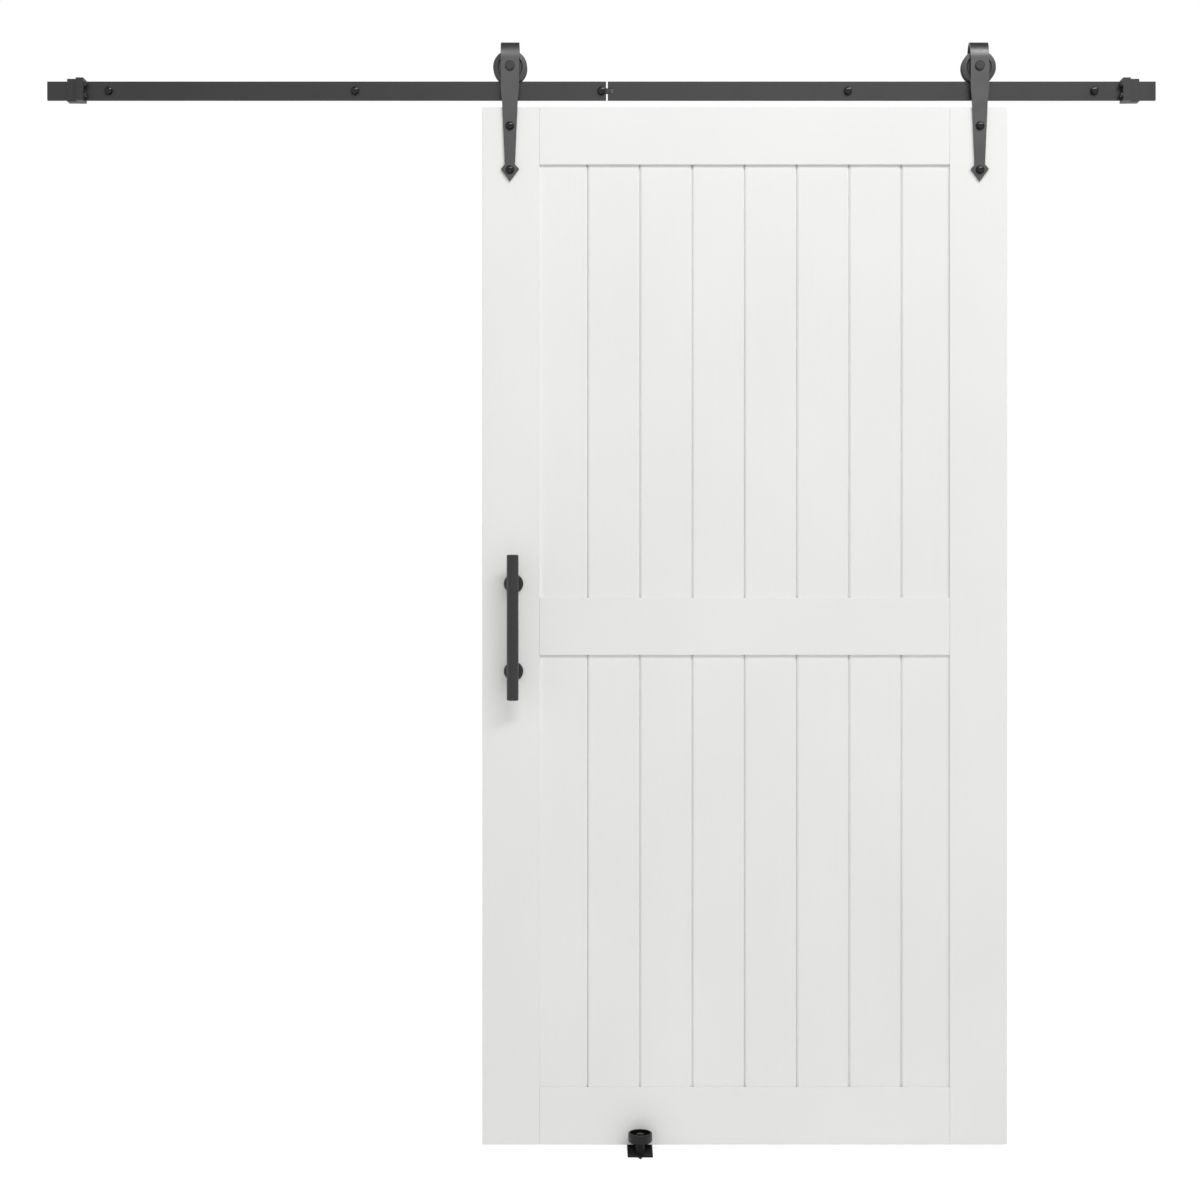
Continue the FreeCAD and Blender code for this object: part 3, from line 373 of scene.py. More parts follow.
@dataclass
class Workpiece:
    """A mesh being shaped, in metres in the model's own frame."""

    name: str
    mesh: bmesh.types.BMesh = field(default_factory=bmesh.new)

    def lathe(self, profile: Profile, centre: Vector, axis: Axis, steps: int = 64) -> None:
        """Turn a profile about an axis.

        Args:
            profile: pairs of radius and distance along the axis, in order along the surface.
            centre: point that the distances count from.
            axis: direction of the turning axis.
            steps: number of facets round the piece.
        """
        points = [self.mesh.verts.new((radius, 0.0, reach)) for radius, reach in profile]
        edges = [self.mesh.edges.new(pair) for pair in zip(points, points[1:])]
        made = bmesh.ops.spin(
            self.mesh, geom=points + edges, cent=(0, 0, 0), axis=(0, 0, 1),
            angle=math.tau, steps=steps, use_merge=True, use_duplicate=False,
        )
        del made
        loose = self.linked(points)
        bmesh.ops.transform(
            self.mesh, matrix=Matrix.Translation(centre) @ axis.upright_to(), verts=loose)

    def linked(self, seeds: Iterable[bmesh.types.BMVert]) -> list[bmesh.types.BMVert]:
        """All vertices joined to the seeds by edges."""
        found = set(seeds)
        waiting = list(found)
        while waiting:
            for edge in waiting.pop().link_edges:
                for vertex in edge.verts:
                    if vertex not in found:
                        found.add(vertex)
                        waiting.append(vertex)
        return list(found)

    def tube(self, bore: float, radius: float, length: float, centre: Vector, axis: Axis) -> None:
        """Plain ring from centre along the axis.

        Args:
            bore: inner radius.
            radius: outer radius.
            length: length along the axis; negative runs the other way.
            centre: middle of the ring's first face.
            axis: direction of the ring's axis.
        """
        self.lathe([(bore, 0), (radius, 0), (radius, length), (bore, length), (bore, 0)], centre, axis)

    def head(self, radius: float, height: float, base: Vector, axis: Axis) -> None:
        """Hexagonal bolt head with a shallow dome on top.

        Args:
            radius: distance from the axis to a corner.
            height: height from the base; negative runs the other way along the axis.
            base: middle of the base.
            axis: direction of the hexagon's axis.
        """
        rise = 0.16 * radius
        body = height - math.copysign(rise, height)
        self.hexagon(radius, body, base, axis, 0.14 * radius)
        ball = ((0.8 * radius) ** 2 + rise ** 2) / (2 * rise)
        widest = math.asin(0.8 * radius / ball)
        cap = []
        for step in range(9):
            turn = widest * (1 - step / 8)
            lift = ball * math.cos(turn) - (ball - rise)
            cap.append((ball * math.sin(turn), body + math.copysign(lift, height)))
        self.lathe([(0, body * 0.9), (0.8 * radius, body * 0.9), *cap], base, axis, 48)

    def hexagon(self, radius: float, height: float, base: Vector, axis: Axis, crown: float) -> None:
        """Hexagonal head or nut with a chamfered crown.

        Args:
            radius: distance from the axis to a corner.
            height: height from the base; negative runs the other way along the axis.
            base: middle of the base.
            axis: direction of the hexagon's axis.
            crown: width of the chamfer round the outer end.
        """
        made = bmesh.ops.create_cone(
            self.mesh, cap_ends=True, segments=6, radius1=radius, radius2=radius, depth=abs(height))
        end = math.copysign(abs(height) / 2, height)
        rim = [
            edge
            for vertex in made["verts"] if abs(vertex.co.z - end) < 1e-6
            for edge in vertex.link_edges
            if all(abs(point.co.z - end) < 1e-6 for point in edge.verts)
        ]
        everything = self.linked(made["verts"][:1])
        lift = Matrix.Translation((0, 0, height / 2))
        rim_edges = list(set(rim))
        bevelled = bmesh.ops.bevel(
            self.mesh, geom=rim_edges, offset=crown, offset_type="OFFSET", affect="EDGES",
            segments=3, profile=0.5, material=-1,
        )
        everything = [v for v in everything if v.is_valid] + [v for v in bevelled["verts"] if v.is_valid]
        bmesh.ops.transform(
            self.mesh,
            matrix=Matrix.Translation(base) @ axis.upright_to() @ lift,
            verts=list(set(everything)),
        )

    def thread(
        self, radius: float, pitch: float, start: Vector, length: float, axis: Axis, steps: int = 14
    ) -> None:
        """Helical ridge along a screw.

        Args:
            radius: core radius that the ridge stands on.
            pitch: distance between turns.
            start: middle of the thread's first end.
            length: threaded length along the axis.
            axis: direction of the screw.
            steps: facets in one turn.
        """
        half = pitch * 0.42
        ridge = [
            self.mesh.verts.new((radius - 0.1 * MM, 0, -half)),
            self.mesh.verts.new((radius + pitch * 0.45, 0, 0)),
            self.mesh.verts.new((radius - 0.1 * MM, 0, half)),
        ]
        face = self.mesh.faces.new(ridge)
        turns = max(1, int((length - pitch) / pitch))
        count = turns * steps
        bmesh.ops.spin(
            self.mesh, geom=[face, *face.edges, *ridge], cent=(0, 0, 0), axis=(0, 0, 1),
            dvec=(0, 0, pitch / steps), angle=math.tau * turns, steps=count,
            use_merge=False, use_duplicate=False,
        )
        bmesh.ops.transform(
            self.mesh,
            matrix=Matrix.Translation(start) @ axis.upright_to() @ Matrix.Translation((0, 0, half)),
            verts=self.linked(ridge),
        )

    def prism(self, outline: Sequence[tuple[float, float, float]], reach: Vector) -> None:
        """Raise a flat outline into a solid.

        Args:
            outline: corners in order, all in one plane.
            reach: how far and which way the outline is drawn.
        """
        corners = [self.mesh.verts.new(point) for point in outline]
        grown = bmesh.ops.extrude_face_region(self.mesh, geom=[self.mesh.faces.new(corners)])["geom"]
        moved = [item for item in grown if isinstance(item, bmesh.types.BMVert)]
        bmesh.ops.translate(self.mesh, verts=moved, vec=reach)

    def sweep(self, sections: Sequence[Matrix]) -> None:
        """Draw a unit square through a row of places and cap both ends.

        Args:
            sections: each maps the square's width, thickness and place into the model.
        """
        made = bmesh.ops.create_circle(self.mesh, cap_ends=True, radius=math.sqrt(0.5), segments=4)
        bmesh.ops.rotate(
            self.mesh, verts=made["verts"], cent=(0, 0, 0),
            matrix=Matrix.Rotation(math.radians(45), 3, "Z"),
        )
        ring = made["verts"]
        bmesh.ops.transform(self.mesh, matrix=sections[0], verts=ring)
        edges = list({edge for vertex in ring for edge in vertex.link_edges})
        for before, after in zip(sections, sections[1:]):
            grown = bmesh.ops.extrude_edge_only(self.mesh, edges=edges)["geom"]
            ring = [item for item in grown if isinstance(item, bmesh.types.BMVert)]
            edges = [item for item in grown if isinstance(item, bmesh.types.BMEdge)
                     and all(vertex in ring for vertex in item.verts)]
            bmesh.ops.transform(self.mesh, matrix=after @ before.inverted(), verts=ring)
        bmesh.ops.contextual_create(self.mesh, geom=edges)

    def soften(self, width: float, segments: int = 2, angle: float = 35.0) -> None:
        """Round every edge sharper than an angle.

        Args:
            width: width of the rounding.
            segments: steps across it.
            angle: smallest turn between faces that counts as an edge, in degrees.
        """
        bmesh.ops.remove_doubles(self.mesh, verts=self.mesh.verts[:], dist=1e-6)
        bmesh.ops.recalc_face_normals(self.mesh, faces=self.mesh.faces[:])
        limit = math.radians(angle)
        sharp = [
            edge for edge in self.mesh.edges
            if len(edge.link_faces) == 2 and edge.calc_face_angle(0.0) > limit
        ]
        bmesh.ops.bevel(
            self.mesh, geom=sharp, offset=width, offset_type="OFFSET", affect="EDGES",
            segments=segments, profile=0.5, material=-1, clamp_overlap=True,
        )

    def finish(self, finish: Finish, body: Body, *replaced: str) -> bpy.types.Object:
        """Turn the workpiece into an object, dressed and riding on its body.

        Args:
            finish: the surface it gets.
            body: the rigid group it moves with.
            replaced: model nodes that it stands for.

        Returns:
            The finished object.
        """
        bmesh.ops.remove_doubles(self.mesh, verts=self.mesh.verts[:], dist=1e-6)
        bmesh.ops.recalc_face_normals(self.mesh, faces=self.mesh.faces[:])
        data = bpy.data.meshes.new(self.name)
        self.mesh.to_mesh(data)
        self.mesh.free()
        data.polygons.foreach_set("use_smooth", [True] * len(data.polygons))
        data.set_sharp_from_angle(angle=math.radians(38))
        data.materials.append(finish.material())
        piece = bpy.data.objects.new(self.name, data)
        bpy.context.scene.collection.objects.link(piece)
        even = piece.modifiers.new("flats_stay_flat", "WEIGHTED_NORMAL")
        even.weight = 100
        even.keep_sharp = True
        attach(piece, body.value)
        if replaced:
            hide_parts(*replaced)
        log.info("%s: %d faces, %s", self.name, len(data.polygons), finish.name)
        return piece


def dress(node: str, finish: Finish, edge: float = 0.0) -> None:
    """Give a model node its finish and, where asked, eased edges.

    Args:
        node: name of the node.
        finish: the surface it gets.
        edge: width of the eased edges.
    """
    piece = frame["nodes"][node]
    piece.data.materials.clear()
    piece.data.materials.append(finish.material())
    if edge:
        weld = piece.modifiers.new("joined_faces", "WELD")
        weld.merge_threshold = 0.01 * MM
        ease = piece.modifiers.new("eased_edges", "BEVEL")
        ease.width = edge
        ease.segments = 2
        ease.limit_method = "ANGLE"
        ease.angle_limit = math.radians(30)
    log.info("%s: dressed in %s", node, finish.name)


def middle(node: str) -> Vector:
    """Centre of a node's box."""
    low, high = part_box(node)
    return (low + high) / 2


def joint_point(name: str) -> Vector:
    """Where a joint's axis sits in the model."""
    joint = next(item for item in frame["joints"] if item["name"] == name)
    return Vector(joint["pos_m"])


def mount_points(kind: str) -> list[Vector]:
    """Places of all mounts of one kind."""
    return [Vector(mount["pos_m"]) for mount in frame["record"]["mounts"] if mount["kind"] == kind]


# ---------------------------------------------------------------- wall rail


@dataclass
class WallRail:
    """Two rail sections with their lag screws, washers and wall spacers."""

    shank: float = 4.75 * MM
    core: float = 4.0 * MM
    thread_pitch: float = 3.4 * MM
    tip: float = 8 * MM
    head_corner: float = 8.2 * MM
    head_height: float = 6.4 * MM
    washer: float = 8.75 * MM
    edge: float = 0.7 * MM
    tongue_height: float = 10.8 * MM
    tongue_length: float = 12.1 * MM
    notch_height: float = 11.4 * MM
    notch_depth: float = 9.0 * MM

    def build(self) -> None:
        """Make both rail sections and their fixings."""
        self.bars()
        self.screws()
        self.washers()
        self.spacers()

    def bars(self) -> None:
        """Left section with a tongue on its end, right section with the notch that takes it."""
        low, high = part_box("rail_left")
        shoulder = high.x - self.tongue_length
        half = self.tongue_height / 2
        left = Workpiece("flat_bar_with_tongue")
        left.prism([
            (low.x, low.y, low.z), (shoulder, low.y, low.z), (shoulder, low.y, -half),
            (high.x, low.y, -half), (high.x, low.y, half), (shoulder, low.y, half),
            (shoulder, low.y, high.z), (low.x, low.y, high.z),
        ], Vector((0, high.y - low.y, 0)))
        left.soften(self.edge)
        left.finish(POWDER, Body.TRACK, "rail_left")

        low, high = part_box("rail_right")
        floor = low.x + self.notch_depth
        half = self.notch_height / 2
        right = Workpiece("flat_bar_with_notch")
        right.prism([
            (low.x, low.y, low.z), (high.x, low.y, low.z), (high.x, low.y, high.z),
            (low.x, low.y, high.z), (low.x, low.y, half), (floor, low.y, half),
            (floor, low.y, -half), (low.x, low.y, -half),
        ], Vector((0, high.y - low.y, 0)))
        right.soften(self.edge)
        right.finish(POWDER, Body.TRACK, "rail_right")

    def screws(self) -> None:
        """Hex lag screws with threads in the wall."""
        low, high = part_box("wall_screws")
        head_face = low.y + self.head_height
        point = high.y
        work = Workpiece("rail_lag_screws")
        for spot in mount_points("pin"):
            centre = Vector((spot.x, 0, spot.z))
            work.lathe([
                (0, head_face), (self.shank, head_face), (self.shank, 0), (self.core, 2 * MM),
                (self.core, point - self.tip), (0, point),
            ], centre, Axis.Y, 32)
            work.thread(self.core, self.thread_pitch, centre, point - self.tip, Axis.Y)
            head = Vector((spot.x, head_face, spot.z))
            work.head(self.head_corner, -self.head_height, head, Axis.Y)
        work.finish(FASTENER, Body.TRACK, "wall_screws")

    def washers(self) -> None:
        """Flat washers under the screw heads."""
        low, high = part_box("wall_washers")
        work = Workpiece("rail_washers")
        for spot in mount_points("pin"):
            work.tube(self.shank + 0.6 * MM, self.washer, high.y - low.y, Vector((spot.x, low.y, spot.z)), Axis.Y)
        work.soften(0.35 * MM)
        work.finish(FASTENER, Body.TRACK, "wall_washers")

    def spacers(self) -> None:
        """Tube spacers between the rail and the wall."""
        low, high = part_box("wall_spacers")
        radius = (high.z - low.z) / 2
        work = Workpiece("rail_wall_spacers")
        for spot in mount_points("pin"):
            work.tube(5.5 * MM, radius, high.y - low.y, Vector((spot.x, low.y, spot.z)), Axis.Y)
        work.soften(0.8 * MM)
        work.finish(POWDER, Body.TRACK, "wall_spacers")


# ---------------------------------------------------------------- end stops


@dataclass
class EndStop:
    """Sleeve and collar that grip the rail, with two rubber buttons facing the door."""

    side: str
    edge: float = 0.9 * MM
    stem: float = 3 * MM

    def build(self) -> None:
        """Dress the blocks and make the buttons."""
        dress(f"{self.side}_stop_sleeve", POWDER, self.edge)
        dress(f"{self.side}_stop_collar", POWDER, self.edge)
        dress(f"{self.side}_stop_grub_screws", FASTENER)
        node = f"{self.side}_stop_buttons"
        low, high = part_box(node)
        radius = (high.y - low.y) / 2
        inward = 1 if self.side == "left" else -1
        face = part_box(f"{self.side}_stop_collar")[1 if inward > 0 else 0].x
        tip = (high.x if inward > 0 else low.x) - face
        back = (low.x if inward > 0 else high.x) - face
        work = Workpiece(f"{self.side}_stop_rubber_buttons")
        for up in (low.z + radius, high.z - radius):
            dome = [
                (radius * math.cos(turn), tip * 0.55 + tip * 0.45 * math.sin(turn))
                for turn in (math.radians(step) for step in range(0, 91, 15))
            ]
            work.lathe(
                [(0, back), (self.stem, back), (self.stem, 0), (radius, 0), *dome],
                Vector((face, (low.y + high.y) / 2, up)), Axis.X, 40,
            )
        work.finish(RUBBER, Body.TRACK, node)


# ---------------------------------------------------------------- hangers


@dataclass
class Hanger:
    """Bent strap with an arrow end, and the grooved wheel that it carries."""

    side: str
    body: Body
    gap: float = 26 * MM
    thickness: float = 5 * MM
    width: float = 38 * MM
    arch_foot: float = 17 * MM
    arch_height: float = 33 * MM
    rear_drop: float = 20 * MM
    rear_round: float = 14 * MM
    shoulder: tuple[float, float] = (46 * MM, 74 * MM)
    shoulder_width: float = 32 * MM
    neck: tuple[float, float] = (203 * MM, 20.9 * MM)
    barb: tuple[float, float] = (212 * MM, 37.2 * MM)
    tip: float = 237 * MM

    @property
    def axle(self) -> Vector:
        """Point where the axle crosses the rail's centre plane."""
        return joint_point(f"{self.side}_wheel_spin")

    def build(self) -> None:
        """Make the strap and the wheel."""
        self.strap()
        self.wheel()
        for node in (f"{self.side}_bearing_outer_ring", f"{self.side}_bearing_balls"):
            dress(node, ZINC)

    def outline(self) -> list[tuple[float, float]]:
        """Drop below the axle and width, down the front leg, with eased shoulders."""
        corners = [
            (0.0, self.width), (self.shoulder[0], self.width), (self.shoulder[1], self.shoulder_width),
            self.neck, self.barb, (self.tip, 0.8 * MM),
        ]
        reach = 6 * MM
        rows = []
        for before, corner, after in zip(corners, corners[1:3], corners[2:4]):
            slope_in = (corner[1] - before[1]) / (corner[0] - before[0])
            slope_out = (after[1] - corner[1]) / (after[0] - corner[0])
            for step in range(-3, 4):
                shift = reach * step / 3
                eased = (slope_out - slope_in) * (shift + reach) ** 2 / (4 * reach)
                rows.append((corner[0] + shift, corner[1] + slope_in * shift + eased))
        return rows + corners[3:]

    def section(self, depth: float, up: float, lean: float, width: float) -> Matrix:
        """Place of one cross-section of the strap.

        Args:
            depth: distance from the rail's centre plane, towards the wall.
            up: height above the axle.
            lean: how far the outer face has turned from facing the wall, in radians.
            width: the strap's width there.

        Returns:
            Matrix for the sweep.
        """
        turn = Matrix.Rotation(lean, 4, "X")
        scale = Matrix.Diagonal((width, self.thickness, 1.0, 1.0))
        return Matrix.Translation(self.axle + Vector((0, depth, up))) @ turn @ scale

    def strap(self) -> None:
        """Sweep the strap from its rear end over the arch to the arrow's tip."""
        radius = (self.gap + self.thickness) / 2
        rows = []
        for step in range(7):
            turn = math.radians(90 * step / 6)
            rounded = self.width / 2 - self.rear_round * (1 - math.sin(turn))
            up = -self.rear_drop + self.rear_round * (1 - math.cos(turn))
            rows.append(self.section(radius, up, 0.0, 2 * rounded))
        for step in range(33):
            turn = math.pi * step / 32
            across, along = radius * math.cos(turn), self.arch_height * math.sin(turn)
            lean = math.atan2(along / self.arch_height ** 2, across / radius ** 2)
            rows.append(self.section(across, self.arch_foot + along, lean, self.width))
        rows += [self.section(-radius, -drop, math.pi, width) for drop, width in self.outline()]
        work = Workpiece(f"{self.side}_hanger_strap")
        work.sweep(rows)
        work.soften(0.7 * MM, 2, 40)
        work.finish(STRAP_POWDER, Body.DOOR, f"{self.side}_strap")

    def wheel(self) -> None:
        """Turn the wheel with its groove and dished faces."""
        low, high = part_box(f"{self.side}_wheel")
        rim = (high.z - low.z) / 2
        half = (high.y - low.y) / 2
        groove = rim - 7 * MM
        dish_outer, dish_inner, dish = 25.5 * MM, 16 * MM, 2 * MM
        wall = 1.5 * MM
        slope = 1.5 * MM

        def face(sign: int) -> list[tuple[float, float]]:
            """Dished face from the hub to the rim."""
            outer = sign * half
            return [
                (13 * MM, outer), (dish_inner, outer), (dish_inner + wall, outer - sign * dish),
                (dish_outer - wall, outer - sign * dish), (dish_outer, outer), (rim, outer - sign * slope),
            ]

        profile = face(-1) + [
            (rim, -6.2 * MM), (groove, -4.2 * MM), (groove, 4.2 * MM), (rim, 6.2 * MM),
        ] + list(reversed(face(1))) + [(13 * MM, -half)]
        work = Workpiece(f"{self.side}_grooved_wheel")
        work.lathe(profile, self.axle, Axis.Y, 96)
        work.soften(0.8 * MM, 3, 20)
        work.finish(NYLON, self.body, f"{self.side}_wheel")


@dataclass
class HangerFixings:
    """Axle bolts, nuts and spacers, and the bolts that hold the straps to the door."""

    head_radius: float = 9.8 * MM
    head_height: float = 4.5 * MM
    axle: float = 4.95 * MM
    washer: float = 9.3 * MM
    washer_thickness: float = 1.5 * MM
    bolt: float = 4 * MM
    bolt_head: float = 7.5 * MM

    @property
    def axles(self) -> list[Vector]:
        """Both axle points."""
        return [joint_point(f"{side}_wheel_spin") for side in ("left", "right")]

    def build(self) -> None:
        """Make every fastener of the hangers."""
        self.axle_bolts()
        self.axle_nuts()
        self.axle_spacers()
        self.door_bolts()
        dress("bearing_inner_rings", ZINC)

    def axle_bolts(self) -> None:
        """Flat round heads with a bevelled rim on threaded shanks."""
        low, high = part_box("axle_bolts")
        under = low.y + self.head_height
        work = Workpiece("hanger_axle_bolts")
        for axle in self.axles:
            centre = Vector((axle.x, 0, axle.z))
            work.lathe([
                (0, low.y), (self.head_radius - 1.4 * MM, low.y), (self.head_radius, low.y + 1.2 * MM),
                (self.head_radius, under), (self.axle, under), (self.axle, high.y - 0.8 * MM),
                (self.axle - 0.8 * MM, high.y), (0, high.y),
            ], centre, Axis.Y)
        work.soften(0.3 * MM, 2, 25)
        work.finish(POWDER, Body.DOOR, "axle_bolts")

    def axle_nuts(self) -> None:
        """Hex nuts behind the rear legs."""
        low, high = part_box("axle_nuts")
        radius = 9.2 * MM
        work = Workpiece("hanger_axle_nuts")
        for axle in self.axles:
            work.hexagon(radius, high.y - low.y, Vector((axle.x, low.y, axle.z)), Axis.Y, 1.0 * MM)
        work.finish(ZINC, Body.DOOR, "axle_nuts")

    def axle_spacers(self) -> None:
        """Tubes between the bearing and the strap's legs."""
        low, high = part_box("axle_spacers")
        radius = (high.z - low.z) / 2
        length = 9 * MM
        work = Workpiece("hanger_axle_spacers")
        for axle in self.axles:
            for start in (low.y, high.y - length):
                work.tube(self.axle, radius, length, Vector((axle.x, start, axle.z)), Axis.Y)
        work.soften(0.4 * MM)
        work.finish(ZINC, Body.DOOR, "axle_spacers")

    def door_bolts(self) -> None:
        """Hex bolts on washers in front, flanged nuts behind the door."""
        bolts_low, bolts_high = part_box("door_bolts")
        nuts_low, nuts_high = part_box("door_bolt_nuts")
        radius = (nuts_high.z - nuts_low.z - 90 * MM) / 2
        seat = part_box("door_bolt_washers")[0].y
        heads = Workpiece("strap_bolts")
        washers = Workpiece("strap_bolt_washers")
        nuts = Workpiece("strap_bolt_nuts")
        for axle in self.axles:
            for up in (nuts_low.z + radius, nuts_high.z - radius):
                head = Vector((axle.x, seat, up))
                centre = Vector((axle.x, 0, up))
                heads.head(self.bolt_head, bolts_low.y - seat, head, Axis.Y)
                heads.lathe(
                    [(0, seat), (self.bolt, seat), (self.bolt, bolts_high.y), (0, bolts_high.y)],
                    centre, Axis.Y, 32)
                washers.tube(self.bolt, self.washer, self.washer_thickness, head, Axis.Y)
                nuts.tube(self.bolt, radius, 1.5 * MM, Vector((axle.x, nuts_low.y, up)), Axis.Y)
                nuts.hexagon(
                    self.bolt_head, nuts_high.y - nuts_low.y - 1.5 * MM,
                    Vector((axle.x, nuts_low.y + 1.5 * MM, up)), Axis.Y, 1.0 * MM)
        washers.soften(0.5 * MM)
        heads.finish(FASTENER, Body.DOOR, "door_bolts")
        washers.finish(FASTENER, Body.DOOR, "door_bolt_washers")
        nuts.finish(ZINC, Body.DOOR, "door_bolt_nuts")


# ---------------------------------------------------------------- door slab


@dataclass
class DoorSlab:
    """Frame of stiles and rails around two rows of upright planks, all in white enamel."""

    frame_edge: float = 1.1 * MM
    plank_edge: float = 0.7 * MM
    rebate: float = 10 * MM
    play: float = 0.1 * MM
    planks: int = 8

    def build(self) -> None:
        """Make the frame and dress the planks."""
        plank_low, plank_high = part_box("upper_plank_1")
        groove = (plank_low.y - self.play, plank_high.y + self.play)
        self.stiles(groove)
        self.cross_rails(groove)
        for row in ("upper", "lower"):
            for number in range(1, self.planks + 1):
                dress(f"{row}_plank_{number}", ENAMEL_UPRIGHT, self.plank_edge)

    def stiles(self, groove: tuple[float, float]) -> None:
        """Uprights, grooved along their inner edges.

        Args:
            groove: front and back of the groove that holds the planks.
        """
        front, back = groove
        for side in ("left", "right"):
            low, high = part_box(f"{side}_stile")
            outer, inner = (low.x, high.x) if side == "left" else (high.x, low.x)
            floor = inner + math.copysign(self.rebate, outer - inner)
            work = Workpiece(f"{side}_door_stile")
            work.prism([
                (outer, low.y, low.z), (inner, low.y, low.z), (inner, front, low.z),
                (floor, front, low.z), (floor, back, low.z), (inner, back, low.z),
                (inner, high.y, low.z), (outer, high.y, low.z),
            ], Vector((0, 0, high.z - low.z)))
            work.soften(self.frame_edge)
            work.finish(ENAMEL_UPRIGHT, Body.DOOR, f"{side}_stile")

    def cross_rails(self, groove: tuple[float, float]) -> None:
        """Level boards between the stiles, grooved where they meet planks.

        Args:
            groove: front and back of the groove that holds the planks.
        """
        front, back = groove
        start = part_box("left_stile")[1].x
        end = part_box("right_stile")[0].x
        for node, below, above in (
            ("top_rail", True, False), ("middle_rail", True, True), ("bottom_rail", False, True),
        ):
            low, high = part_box(node)
            foot, head = low.z + self.rebate, high.z - self.rebate
            under = [(back, low.z), (back, foot), (front, foot), (front, low.z)] if below else []
            over = [(front, high.z), (front, head), (back, head), (back, high.z)] if above else []
            rows = [(low.y, low.z), (low.y, high.z), *over, (high.y, high.z), (high.y, low.z), *under]
            work = Workpiece(f"door_{node}")
            work.prism([(start, depth, up) for depth, up in rows], Vector((end - start, 0, 0)))
            work.soften(self.frame_edge)
            work.finish(ENAMEL_LEVEL, Body.DOOR, node)


# ---------------------------------------------------------------- pull handle


@dataclass
class PullHandle:
    """Round bar on two posts with rosettes, screwed on from the door's back."""

    post: float = 9 * MM
    rosette: float = 20 * MM
    rosette_thickness: float = 5 * MM
    bevel: float = 1.6 * MM

    def build(self) -> None:
        """Make the bar, the posts and the screws."""
        low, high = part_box("handle_bar")
        radius = (high.x - low.x) / 2
        centre = Vector(((low.x + high.x) / 2, (low.y + high.y) / 2, 0))
        bar = Workpiece("pull_bar")
        bar.lathe([
            (0, low.z), (radius - self.bevel, low.z), (radius, low.z + self.bevel),
            (radius, high.z - self.bevel), (radius - self.bevel, high.z), (0, high.z),
        ], centre, Axis.Z)
        bar.soften(0.5 * MM, 2, 25)
        bar.finish(HANDLE_POWDER, Body.DOOR, "handle_bar")
        self.posts(centre.y)
        self.screws()

    def post_heights(self) -> tuple[float, float]:
        """Heights of both posts."""
        low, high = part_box("handle_posts")
        return low.z + self.rosette, high.z - self.rosette

    def posts(self, bar_y: float) -> None:
        """Posts with bevelled rosettes against the door.

        Args:
            bar_y: where the bar's axis lies in depth.
        """
        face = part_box("handle_posts")[1].y
        edge = self.rosette_thickness
        work = Workpiece("pull_posts")
        for up in self.post_heights():
            work.lathe([
                (0, face), (self.rosette, face), (self.rosette, face - edge + self.bevel),
                (self.rosette - self.bevel, face - edge), (self.post + 1.2 * MM, face - edge),
                (self.post, face - edge - 1.2 * MM), (self.post, bar_y), (0, bar_y),
            ], Vector((middle("handle_posts").x, 0, up)), Axis.Y)
        work.soften(0.4 * MM, 2, 25)
        work.finish(HANDLE_POWDER, Body.DOOR, "handle_posts")

    def screws(self) -> None:
        """Pan-head screws with washers on the door's back."""
        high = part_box("handle_screws")[1]
        washer, head = 1.2 * MM, 3.5 * MM
        start = high.y - washer - head
        work = Workpiece("pull_screws")
        for up in self.post_heights():
            work.lathe([
                (0, start), (8 * MM, start), (8 * MM, start + washer), (6 * MM, start + washer),
                (5.4 * MM, start + washer + head * 0.6), (3.4 * MM, high.y), (0, high.y),
            ], Vector((middle("handle_screws").x, 0, up)), Axis.Y)
        work.soften(0.3 * MM, 2, 25)
        work.finish(ZINC, Body.DOOR, "handle_screws")


# ---------------------------------------------------------------- floor guide


